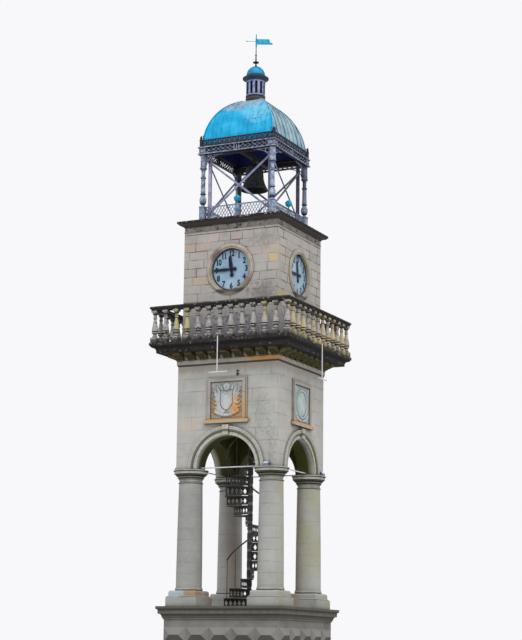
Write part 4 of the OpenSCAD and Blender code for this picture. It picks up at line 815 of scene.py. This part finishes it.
slotFinish = {
    "stone": "sawnLimestone", "base_stone": "plinthLimestone", "weathered_stone": "blackenedLimestone",
    "baluster_stone": "balusterLimestone", "relief_stone": "carvedLimestone", "ring_stone": "ringSandstone",
    "dial_enamel": "dialEnamel", "navy_paint": "navyEnamel", "painted_iron": "lilacIronPaint",
    "rusty_iron": "rustyIron", "black_iron": "blackIron", "blue_copper": "cyanSheetPaint", "blue_paint": "cyanPaint",
    "bronze": "bellBronze", "white_paint": "whiteRodPaint", "lamp_paint": "lampPaint"}
nodeFinish = {side + "_clock_wall": "coursedLimestone" for side in sides}
nodeFinish.update({
    "column_shafts": "columnLimestone", "column_bases": "columnLimestone", "column_capitals": "capitalLimestone",
    "balcony_brackets": "bracketLimestone", "arch_mouldings": "archLimestone", "keystones": "archLimestone",
    "panel_frames": "sillLimestone", "string_course": "stringLimestone", "roof_cornice": "corniceLimestone",
    "belfry_columns": "paleIronPaint", "belfry_frieze": "friezeIronPaint", "bell_frame": "purpleIronPaint",
    "lantern_drum": "drumIronPaint", "lantern_cornice": "slateIronPaint", "small_dome": "smallDomePaint",
    "stair_treads": "stairIronPaint", "stair_railing": "stairIronPaint", "stair_pole": "polePaint",
    "tie_rods": "whiteRodPaint", "plinth_footing": "plinthLimestone", "plinth_blocks": "plinthLimestone",
    "plinth_cornice": "plinthLimestone"})
slots = {row["node"]: row["material_slot"] for row in frame["record"]["subparts"]}
for name, node in frame["nodes"].items():
    chosen = finish[nodeFinish.get(name, slotFinish[slots[name]])]
    for place in node.material_slots:
        place.material = chosen


def plasterFloor():
    material, tree, here = startFinish("palePlasterFloor")
    cloud = addNode(tree, "TexNoise", {"Vector": here, "Scale": 2.0, "Detail": 4.0})
    shade = addNode(tree, "ValToRGB", [cloud], stops=spreadStops(studio["floor"], 0.3, 0.7))
    endFinish(tree, {"Base Color": shade, "Roughness": 0.85})
    finish["palePlasterFloor"] = material
    half = studio["floorHalf"]
    corners = [(-half, -half, 0), (half, -half, 0), (half, half, 0), (-half, half, 0)]
    makePiece("floor", corners, [(0, 1, 2, 3)], "palePlasterFloor")


plasterFloor()
print("finishes ready")

# Figures, minute marks, dark rim and hub caps of the dials
dial = {"figureRadius": 0.39, "figureHeight": 0.148, "squeeze": 0.82, "bold": 0.035, "thick": 0.0025, "drawn": 0.01,
        "pitch": 0.07, "serif": 0.056, "serifHigh": 0.014, "serifShift": 0.004, "tick": (0.462, 0.478),
        "tickHalf": (0.006, 0.003), "rim": (0.478, 0.499), "rimSteps": 96, "hub": (0.022, 0.012), "hubOut": 0.036}


def figureMesh(digit):
    # one figure drawn by the plain built-in face, as points and faces with its middle at the origin
    curve = bpy.data.curves.new("figure", "FONT")
    curve.body = digit
    curve.extrude = dial["drawn"]
    curve.bevel_depth = dial["bold"]
    curve.bevel_resolution = 0
    curve.align_x = "CENTER"
    points, faces = drawnShape(curve)
    low, high = min(p.y for p in points), max(p.y for p in points)
    left, right = min(p.x for p in points), max(p.x for p in points)
    size = dial["figureHeight"] / (high - low)
    return [Vector(((p.x - (left + right) / 2) * size * dial["squeeze"], (p.y - (low + high) / 2) * size,
                    dial["thick"] if p.z > 0 else 0.0)) for p in points], faces


def plate(left, right, low, high, thick):
    outline = ((left, low), (right, low), (right, high), (left, high))
    return [Vector((x, y, z)) for z in (0.0, thick) for x, y in outline], boxFaces


def dressDials():
    points, faces = [], []

    def put(shape, shift=Vector((0, 0, 0)), turn=0.0):
        c, s = math.cos(turn), math.sin(turn)
        first = len(points)
        points.extend(Vector((c * p.x - s * p.y, s * p.x + c * p.y, p.z)) + shift for p in shape[0])
        faces.extend(tuple(first + i for i in face) for face in shape[1])

    figures = {digit: figureMesh(digit) for digit in "0123456789"}
    half, foot, thick = dial["serif"] / 2, -dial["figureHeight"] / 2, dial["thick"]
    for hour in range(1, 13):
        angle = math.radians(90 - 30 * hour)
        centre = Vector((math.cos(angle), math.sin(angle), 0)) * dial["figureRadius"]
        digits = str(hour)
        for i, digit in enumerate(digits):
            shift = centre + Vector(((i - (len(digits) - 1) / 2) * dial["pitch"], 0, 0))
            put(figures[digit], shift)
            if digit == "1":
                aside = dial["serifShift"]
                put(plate(-half + aside, half + aside, foot, foot + dial["serifHigh"], thick), shift)
    for minute in range(60):
        half = dial["tickHalf"][minute % 5 > 0]
        put(plate(*dial["tick"], -half, half, thick), turn=math.radians(6 * minute))
    first, count = len(points), dial["rimSteps"]
    for a in turns(count):
        points += [Vector((radius * math.cos(a), radius * math.sin(a), z)) for radius in dial["rim"]
                   for z in (0.0, thick)]
    for i in range(count):
        a, b = first + 4 * i, first + 4 * ((i + 1) % count)
        faces += [(a + m, a + n, b + n, b + m) for m, n in ((1, 3), (0, 1), (3, 2), (2, 0))]
    low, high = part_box("dials")
    middle = (low[2] + high[2]) / 2
    for i, side in enumerate(sides):
        placed = quarterTurn([Vector((p.x, low[1] - p.z, middle + p.y)) for p in points], i)
        settle(makePiece(side + "_dial_figures", placed, faces, "navyEnamel"))
        heads(side + "_hub_cap", outward([(0, low[1] - dial["hubOut"], middle)], i), *dial["hub"], "navyEnamel",
              "navy_paint", side + "_minute_hand")


dressDials()
print("dials ready")

# Carved panels as fields of height, u and v from -1 to 1: a shield between leaf sprays, and an oval medallion.
# Sprays are count, first and next angle, foot, root and reach of the tips, swell, width and height;
# a row of beads runs under the shield. The medallion's corner leaves are first place and way to the last, across and
# up, radius and height
relief = {"halfWide": 0.409, "across": 104, "up": 108, "deep": 0.042, "margin": 0.004, "seat": 0.0005, "edge": 0.001,
          "tipLimit": 0.93, "sprays": ((6, 6, 15, (0.15, -0.28), (0.2, -0.24), (1.15, 1.15), 0.06, 0.13, 0.75),
                                       (5, -12, -16, (0.1, -0.3), (0.1, -0.3), (0.95, 0.68), 0.0, 0.12, 0.65)),
          "shieldHalf": 0.4, "shieldBend": -0.1, "shieldDeep": 0.46, "shieldTop": 0.5, "shieldFoot": -0.56,
          "shieldWave": (0.08, 7), "shieldHigh": 0.8, "shieldHollow": 0.3, "shieldSlopes": ((0.0, 0.05), (0.06, 0.1)),
          "rose": (0, 0.72), "rosePetals": 8, "roseRing": (0.13, 0.12), "rosePetal": 0.09, "petalHigh": 0.85,
          "roseHeart": 0.08, "beads": 7, "beadPitch": 0.1, "beadLevel": -0.84, "beadBow": 0.004, "bead": 0.08,
          "beadMore": 0.02, "beadHigh": 0.8, "oval": (0.66, 0.8), "dome": 0.86, "domeHigh": 0.55, "rimAt": 0.95,
          "rimHalf": 0.07, "rimHigh": 0.6, "cornerLeaves": 5,
          "lower": (0.2, 0.6, -0.93, 0.3, 0.1, 0.6), "upper": (0.86, -0.1, 0.9, -0.25, 0.08, 0.45)}


def bumpAt(u, v, centre, radius):
    d = ((u - centre[0]) ** 2 + (v - centre[1]) ** 2) / radius ** 2
    return math.sqrt(max(0.0, 1.0 - d))


def smooth(low, high, x):
    t = min(1.0, max(0.0, (x - low) / (high - low)))
    return t * t * (3 - 2 * t)


def leafAt(u, v, foot, tip, wide):
    # a pointed leaf with a midrib, from its foot to its tip
    along = (tip[0] - foot[0], tip[1] - foot[1])
    long = math.hypot(*along)
    du, dv = u - foot[0], v - foot[1]
    t = (du * along[0] + dv * along[1]) / long ** 2
    if t <= 0 or t >= 1:
        return 0.0
    off = abs(du * along[1] - dv * along[0]) / long / (wide * math.sin(math.pi * t ** 0.7))
    return (1 - off * off) ** 0.5 * (0.75 + 0.25 * smooth(0.0, 0.25, off)) if off < 1 else 0.0


def cartouche(u, v):
    a = abs(u)
    height = 0.0
    for count, start, step, foot, root, reach, swell, wide, high in relief["sprays"]:
        for k in range(count):
            turn = math.radians(start + step * k)
            more = swell * math.sin(2 * turn)
            tip = (min(relief["tipLimit"], root[0] + (reach[0] + more) * math.cos(turn)),
                   min(relief["tipLimit"], root[1] + (reach[1] + more) * math.sin(turn)))
            height = max(height, high * leafAt(a, v, foot, tip, wide))
    half, bend = relief["shieldHalf"], relief["shieldBend"]
    wide = half if v > bend else half * math.sqrt(max(0.0, 1 - ((v - bend) / relief["shieldDeep"]) ** 2))
    wave, waves = relief["shieldWave"]
    inside = min(wide - a, relief["shieldTop"] - v - wave * math.cos(u * waves), v - relief["shieldFoot"])
    if inside > 0:
        rise, drop = (smooth(*slope, inside) for slope in relief["shieldSlopes"])
        hollow = relief["shieldHollow"]
        height = relief["shieldHigh"] * rise * (1 - hollow * min(1, a / half) ** 2) - hollow * drop
    (x, y), (wide, high) = relief["rose"], relief["roseRing"]
    for turn in turns(relief["rosePetals"]):
        spot = (x + wide * math.cos(turn), y + high * math.sin(turn))
        height = max(height, relief["petalHigh"] * bumpAt(u, v, spot, relief["rosePetal"]))
    height = max(height, bumpAt(u, v, (x, y), relief["roseHeart"]))
    for k in range(-relief["beads"], relief["beads"] + 1):
        spot = (k * relief["beadPitch"], relief["beadLevel"] + relief["beadBow"] * k * k)
        radius = relief["bead"] + relief["beadMore"] * (k % 2)
        height = max(height, relief["beadHigh"] * bumpAt(u, v, spot, radius))
    return height


def medallion(u, v):
    d = math.hypot(u / relief["oval"][0], v / relief["oval"][1])
    dome = math.sqrt(max(0.0, 1 - (d / relief["dome"]) ** 2))
    rim = max(0.0, 1 - ((d - relief["rimAt"]) / relief["rimHalf"]) ** 2)
    height = relief["domeHigh"] * dome + relief["rimHigh"] * math.sqrt(rim)
    for k in range(relief["cornerLeaves"]):
        t = k / (relief["cornerLeaves"] - 1)
        for (x, across, y, up, radius, high), bent in ((relief["lower"], t * t), (relief["upper"], t)):
            height = max(height, high * bumpAt(abs(u), v, (x + across * t, y + up * bent), radius))
    return height


def carvePanels():
    low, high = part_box("relief_panels")
    bottom, top = low[2] + relief["margin"], high[2] - relief["margin"]
    across, up = relief["across"], relief["up"]
    for i, side in enumerate(sides):
        shape, chosen = ((cartouche, "carvedLimestone"), (medallion, "medallionWash"))[i % 2]
        points = []
        for row in range(up + 1):
            v = 2 * row / up - 1
            for column in range(across + 1):
                u = 2 * column / across - 1
                within = 0 < row < up and 0 < column < across
                rise = relief["deep"] * shape(u, v) if within else -relief["edge"]
                points.append(Vector((u * relief["halfWide"], low[1] - relief["seat"] - rise,
                                      bottom + (top - bottom) * (v + 1) / 2)))
        corners = [row * (across + 1) + column for row in range(up) for column in range(across)]
        faces = [(a, a + 1, a + across + 2, a + across + 1) for a in corners]
        piece = makePiece(side + "_carving", quarterTurn(points, i), faces, chosen)
        settle(piece, smooth=True)


carvePanels()
print("carvings ready")

# Standing seams of the dome's sheets and the rolls on its four hips
domeLook = {"half": 0.95, "topHalf": 0.225, "rise": 1.3, "pitch": 0.235, "seamSpread": 3, "seamOut": 0.003,
            "seam": (0.0035, 0.01, 0.009, 0.0035), "hip": 0.017, "hipGap": 0.012, "steps": 22}


def dressDome():
    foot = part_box("dome")[0][2]
    last = math.acos(domeLook["topHalf"] / domeLook["half"])
    steps = range(domeLook["steps"] + 1)

    def rib(t):
        return domeLook["half"] * math.cos(t), foot + domeLook["rise"] * math.sin(t) / math.sin(last)

    seams = []
    for k in range(-domeLook["seamSpread"], domeLook["seamSpread"] + 1):
        x = k * domeLook["pitch"]
        end = last
        if abs(x) >= domeLook["topHalf"]:
            end = math.acos(min(1.0, (abs(x) + domeLook["hipGap"]) / domeLook["half"]))
        line = [rib(end * i / domeLook["steps"]) for i in steps]
        seams.append([(x, -wide - domeLook["seamOut"], z) for wide, z in line])
    hips = [(wide, -wide, z) for wide, z in (rib(last * i / domeLook["steps"]) for i in steps)]
    for i, side in enumerate(sides):
        bars(side + "_dome_seams", [quarterTurn(path, i) for path in seams], domeLook["seam"][i],
             "darkSeamPaint" if i == 1 else "cyanSheetPaint", around=6)
    bars("dome_hips", [quarterTurn(hips, i) for i in range(4)], domeLook["hip"], "cyanSheetPaint")


# Rivets, bosses and rings on the frieze, the railing and the braces; heads are (radius, height)
iron = {"friezeLine": 0.8365, "friezeStart": 0.078, "friezeHalf": 6, "friezeIn": 0.02, "friezeBack": 0.008,
        "rivetShare": 0.75, "rivet": (0.009, 0.006), "edgeRivets": 22, "edgePitch": 0.085, "edgeIn": 0.014,
        "boss": (0.046, 0.016), "bossIn": 0.0875, "ring": 0.066, "ringBar": 0.006, "railReach": 0.851,
        "railStart": 0.065, "railHalf": 10, "railIn": 0.013, "railShort": 0.012, "railRivet": (0.008, 0.005),
        "braceGaps": (0.03, 0.07), "braceIn": 0.03, "braceSlope": 0.75, "braceProud": 0.001, "bolt": (0.013, 0.009)}


def rivetIron():
    low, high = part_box("belfry_frieze")
    outer, middle = high[0] - iron["friezeIn"], (low[2] + high[2]) / 2
    places, bosses, rings = [], [], []
    pitch = (iron["friezeLine"] - iron["friezeStart"]) / iron["friezeHalf"]
    for i in range(4):
        for k in range(iron["friezeHalf"]):
            for s in (-1, 1):
                x = s * (iron["friezeStart"] + (k + iron["rivetShare"]) * pitch)
                places += outward([(x, -outer + iron["friezeBack"], middle)], i)
        for s in (-1, 1):
            boss = outward([(s * (outer - iron["bossIn"]), -outer, middle - iron["edgeIn"])], i)
            bosses += boss
            rings.append(ringPath(boss[0][0], iron["ring"], quarterTurn([(1, 0, 0)], i)[0], (0, 0, 1), 24))
        for k in range(iron["edgeRivets"]):
            x, y = (k - (iron["edgeRivets"] - 1) / 2) * iron["edgePitch"], -outer - iron["friezeIn"]
            places += outward([(x, y, high[2] - iron["edgeIn"]), (x, y, low[2] + iron["edgeIn"])], i)
    heads("frieze_rivets", places, *iron["rivet"], "paleIronPaint", "painted_iron")
    heads("frieze_bosses", bosses, *iron["boss"], "lilacIronPaint", "painted_iron")
    bars("frieze_rings", rings, iron["ringBar"], "paleIronPaint", around=6)
    low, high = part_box("lattice_railings")
    places = []
    pitch = (iron["railReach"] - iron["railStart"]) / iron["railHalf"]
    for i in range(4):
        for k in range(iron["railHalf"] + 1):
            for s in (-1, 1):
                x = s * (iron["railStart"] + k * pitch - (iron["railShort"] if k == iron["railHalf"] else 0))
                places += outward([(x, -high[0], low[2] + iron["railIn"]), (x, -high[0], high[2] - iron["railIn"])], i)
    heads("railing_rivets", places, *iron["railRivet"], "lilacIronPaint", "painted_iron")
    low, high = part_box("frame_braces")
    middle, half = (low[2] + high[2]) / 2, (high[2] - low[2]) / 2
    places = []
    for i in range(4):
        for s in (-1, 1):
            for t in (-1, 1):
                for gap in iron["braceGaps"]:
                    z = middle + t * (half - iron["braceIn"] - gap * iron["braceSlope"])
                    places += outward([(s * (high[0] - gap), -high[0], z)], i)
        places += outward([(0, -high[0] - iron["braceProud"], middle)], i)
    heads("brace_bolts", places, *iron["bolt"], "purpleIronPaint", "painted_iron")


# The cyan flower over the middle of the front and right railings, and the rosette on its post
flower = {"radius": 0.076, "drop": 0.008, "petals": 30, "petal": (0.027, 0.02), "sunk": 0.009, "nextTurn": 2.39996,
          "ring": 8, "postPetal": (0.016, 0.016), "postRing": 0.027, "postLift": 0.05}


def makeFlowers():
    low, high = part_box("railing_balls")
    railLow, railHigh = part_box("lattice_railings")
    radius, ring = flower["radius"], flower["postRing"]
    face, middle = railHigh[0], (railLow[2] + railHigh[2]) / 2 + flower["postLift"]
    petals, rosettes = [], []
    for i in range(2):
        centre = quarterTurn([(0, low[1] + radius, high[2] - flower["drop"] - radius)], i)[0]
        for k in range(flower["petals"]):
            z = 1 - 2 * (k + 0.5) / flower["petals"]
            turn = k * flower["nextTurn"]
            out = Vector((math.cos(turn) * math.sqrt(1 - z * z), math.sin(turn) * math.sqrt(1 - z * z), z))
            petals.append((centre + out * (radius - flower["sunk"]), out))
        spots = [(ring * math.cos(turn), -face, middle + ring * math.sin(turn)) for turn in turns(flower["ring"])]
        rosettes += outward([(0, -face, middle)] + spots, i)
    heads("flower_balls", petals, *flower["petal"], "cyanPaint", "blue_paint")
    heads("post_rosettes", rosettes, *flower["postPetal"], "cyanPaint", "blue_paint")


# The openwork cresting: diamonds cut in a plate on each side, with rails, corner posts and curled leaves.
# Shares are of its height or of the space between two diamonds; a curl is steps, start, angle, radius and shrink
crest = {"high": 0.19, "back": 0.016, "inset": 0.02, "plate": 0.005, "top": 0.93, "count": 14, "middle": 0.48,
         "big": (0.34, 0.26), "smallAt": (0.27, 0.7), "small": (0.17, 0.1), "post": 0.036, "around": 16,
         "profile": ((1, 0), (1, 0.82), (1.15, 0.88), (1.15, 1), (0.5, 1.08), (0.86, 1.2), (0.7, 1.36), (0.05, 1.5)),
         "rails": (0.02, 0.885), "railOut": 0.006, "rail": 0.008, "curl": (22, -90, 22, 0.055, 0.032),
         "curlAt": (0.08, 0.012, 0.235)}


def dressCresting():
    low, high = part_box("cresting")
    half, foot, tall, post = high[0] - crest["back"], low[2], crest["high"], crest["post"]
    edge, run = half - crest["inset"], half - 2 * post
    pitch = 2 * run / crest["count"]

    def diamond(k, level, size):
        x, z, wide, tip = k * pitch - run, level * tall, size[0] * pitch, size[1] * tall
        return [(x - wide, z), (x, z - tip), (x + wide, z), (x, z + tip)]

    drawn = bpy.data.curves.new("openwork", "CURVE")
    drawn.dimensions, drawn.fill_mode, drawn.extrude = "2D", "BOTH", crest["plate"]
    outlines = [[(-edge, 0), (edge, 0), (edge, crest["top"] * tall), (-edge, crest["top"] * tall)]]
    outlines += [diamond(k + 0.5, crest["middle"], crest["big"]) for k in range(crest["count"])]
    outlines += [diamond(k, share, crest["small"]) for k in range(1, crest["count"]) for share in crest["smallAt"]]
    for outline in outlines:
        spline = drawn.splines.new("POLY")
        spline.points.add(len(outline) - 1)
        for point, (x, y) in zip(spline.points, outline):
            point.co = (x, y, 0, 1)
        spline.use_cyclic_u = True
    flat, plates = drawnShape(drawn)
    steps, start, step, radius, shrink = crest["curl"]
    curl = [(math.radians(start + step * k), radius * (1 - shrink * k)) for k in range(steps)]
    inward, back, over = crest["curlAt"]
    points, faces, rails, curls = [], [], [], []
    for i in range(4):
        faces += [tuple(len(points) + k for k in face) for face in plates]
        points += quarterTurn([(p.x, -edge - p.z, foot + p.y) for p in flat], i)
        faces += ringFaces(len(points), len(crest["profile"]), crest["around"])
        for wide, level in crest["profile"]:
            points += quarterTurn([(half - post + post * wide * math.cos(a), post - half + post * wide * math.sin(a),
                                    foot + tall * level) for a in turns(crest["around"])], i)
        for level in crest["rails"]:
            y, z = -edge - crest["railOut"], foot + tall * level
            rails.append(quarterTurn([(-edge, y, z), (edge, y, z)], i))
        for s in (-1, 1):
            curls.append(quarterTurn([(s * (half - inward + r * math.cos(a)), -half + back,
                                       foot + over + r * math.sin(a)) for a, r in curl], i))
    piece = makePiece("openwork_cresting", points, faces, "rustyIron")
    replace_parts(settle(piece), "cresting")
    bars("cresting_rails", rails, crest["rail"], "rustyIron", around=6)
    bars("cresting_curls", curls, crest["rail"], "rustyIron", around=6)


# Sloping louvre blades behind the slots of the lantern drum, between two depths under its top
louvre = {"radius": 0.21, "deep": 0.03, "blades": 9, "sides": 26, "thick": 0.003, "foot": 0.375, "top": 0.03,
          "overlap": 1.25}


def hangLouvres():
    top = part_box("lantern_drum")[1][2]
    first, last = top - louvre["foot"], top - louvre["top"]
    drop = louvre["overlap"] * (last - first) / louvre["blades"]
    wide, thick = louvre["radius"], louvre["thick"]
    narrow = wide - louvre["deep"]
    points, faces = [], []
    for blade in range(louvre["blades"]):
        z = first + (last - first) * blade / louvre["blades"]
        faces += ringFaces(len(points), 4, louvre["sides"], closed=True)
        for radius, level in ((wide, z), (wide, z + thick), (narrow, z + drop + thick), (narrow, z + drop)):
            points += [(radius * math.cos(a), radius * math.sin(a), level) for a in turns(louvre["sides"])]
    settle(makePiece("drum_louvres", points, faces, "rustLouvre"))


# A small rusty clamp left in the front wall over the panel
clamp = {"at": (0.27, 7.9), "half": 0.09, "proud": 0.012, "levels": (-0.075, 0.0, 0.075), "arm": (0.03, 0.004),
         "bend": (0.02, 0.02), "lift": 0.01, "bar": 0.008}


def leaveClamp():
    face, (x, z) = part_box("front_arch_wall")[0][1], clamp["at"]
    (armWide, armOut), (bendWide, bendOut) = clamp["arm"], clamp["bend"]
    paths = [[(x, face - clamp["proud"], z + s * clamp["half"]) for s in (-1, 1)]]
    for level in clamp["levels"]:
        low, high = z + level, z + level + clamp["lift"]
        paths.append([(x - armWide, face - armOut, low), (x - bendWide, face - bendOut, high),
                      (x + bendWide, face - bendOut, high), (x + armWide, face - armOut, low)])
    bars("wall_clamp", paths, clamp["bar"], "blackIron", around=6)


dressDome()
rivetIron()
makeFlowers()
dressCresting()
hangLouvres()
leaveClamp()
print("belfry ready")

# Raised bands round the bell, at shares of its height
band = {"shares": (0.06, 0.1, 0.46, 0.5, 0.74), "bar": 0.007, "proud": 0.001, "around": 48}


def bandBell():
    low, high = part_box("bell")
    rows = {}
    for v in frame["nodes"]["bell"].data.vertices:
        key = round(v.co.z, 3)
        rows[key] = max(rows.get(key, 0.0), math.hypot(v.co.x, v.co.y))
    paths = []
    for share in band["shares"]:
        z = low[2] + share * (high[2] - low[2])
        under, over = max(k for k in rows if k <= z), min(k for k in rows if k >= z)
        t = 0 if over == under else (z - under) / (over - under)
        radius = rows[under] + t * (rows[over] - rows[under]) + band["proud"]
        paths.append(ringPath((0, 0, z), radius, (1, 0, 0), (0, 1, 0), band["around"]))
    bars("bell_bands", paths, band["bar"], "bellBronze", around=6)


# Glass and yoke of each floodlight; the glass lies on the slope from the lamp's middle to its top
lamp = {"left": 0.99, "wide": 0.14, "back": 1.321, "deep": 0.098, "high": 0.105, "foot": 5.73, "slope": 0.55,
        "glass": 0.004, "glassIn": 0.012, "glassSpan": (0.1, 0.9), "yokeGap": 0.004, "yokeBack": 0.045,
        "yoke": (0.006, 0.06), "yokeBar": 0.005, "bolt": (0.01, 0.008)}


def dressLamps():
    x0, x1 = lamp["left"], lamp["left"] + lamp["wide"]
    y0, y1 = -lamp["back"], -lamp["back"] - lamp["deep"]
    outer = Vector((0, y1, lamp["foot"] + lamp["high"] * lamp["slope"]))
    inner = Vector((0, y0 - lamp["deep"] * lamp["slope"], lamp["foot"] + lamp["high"]))
    slope = (inner - outer).normalized()
    out = Vector((0, -slope.z, slope.y))
    out = out if out.y < 0 else -out
    left, right, (low, high) = x0 + lamp["glassIn"], x1 - lamp["glassIn"], lamp["glassSpan"]
    glass = [outer + (inner - outer) * t + out * lift + Vector((x, 0, 0)) for lift in (0.0, lamp["glass"])
             for x, t in ((left, low), (right, low), (right, high), (left, high))]
    paths, bolts = [], []
    for i, side in enumerate(sides):
        settle(makePiece(side + "_lamp_glass", quarterTurn(glass, i), boxFaces, "lampGlass"))
        for x, way in ((x0 - lamp["yokeGap"], -1), (x1 + lamp["yokeGap"], 1)):
            foot, top = [(x, y0 - lamp["yokeBack"], lamp["foot"] + over) for over in lamp["yoke"]]
            paths.append(quarterTurn([foot, top], i))
            bolts += outward([top], i, (way, 0, 0))
    bars("lamp_yokes", paths, lamp["yokeBar"], "blackIron", around=6)
    heads("lamp_bolts", bolts, *lamp["bolt"], "blackIron", "lamp_paint")


bandBell()
dressLamps()
print("fittings ready")
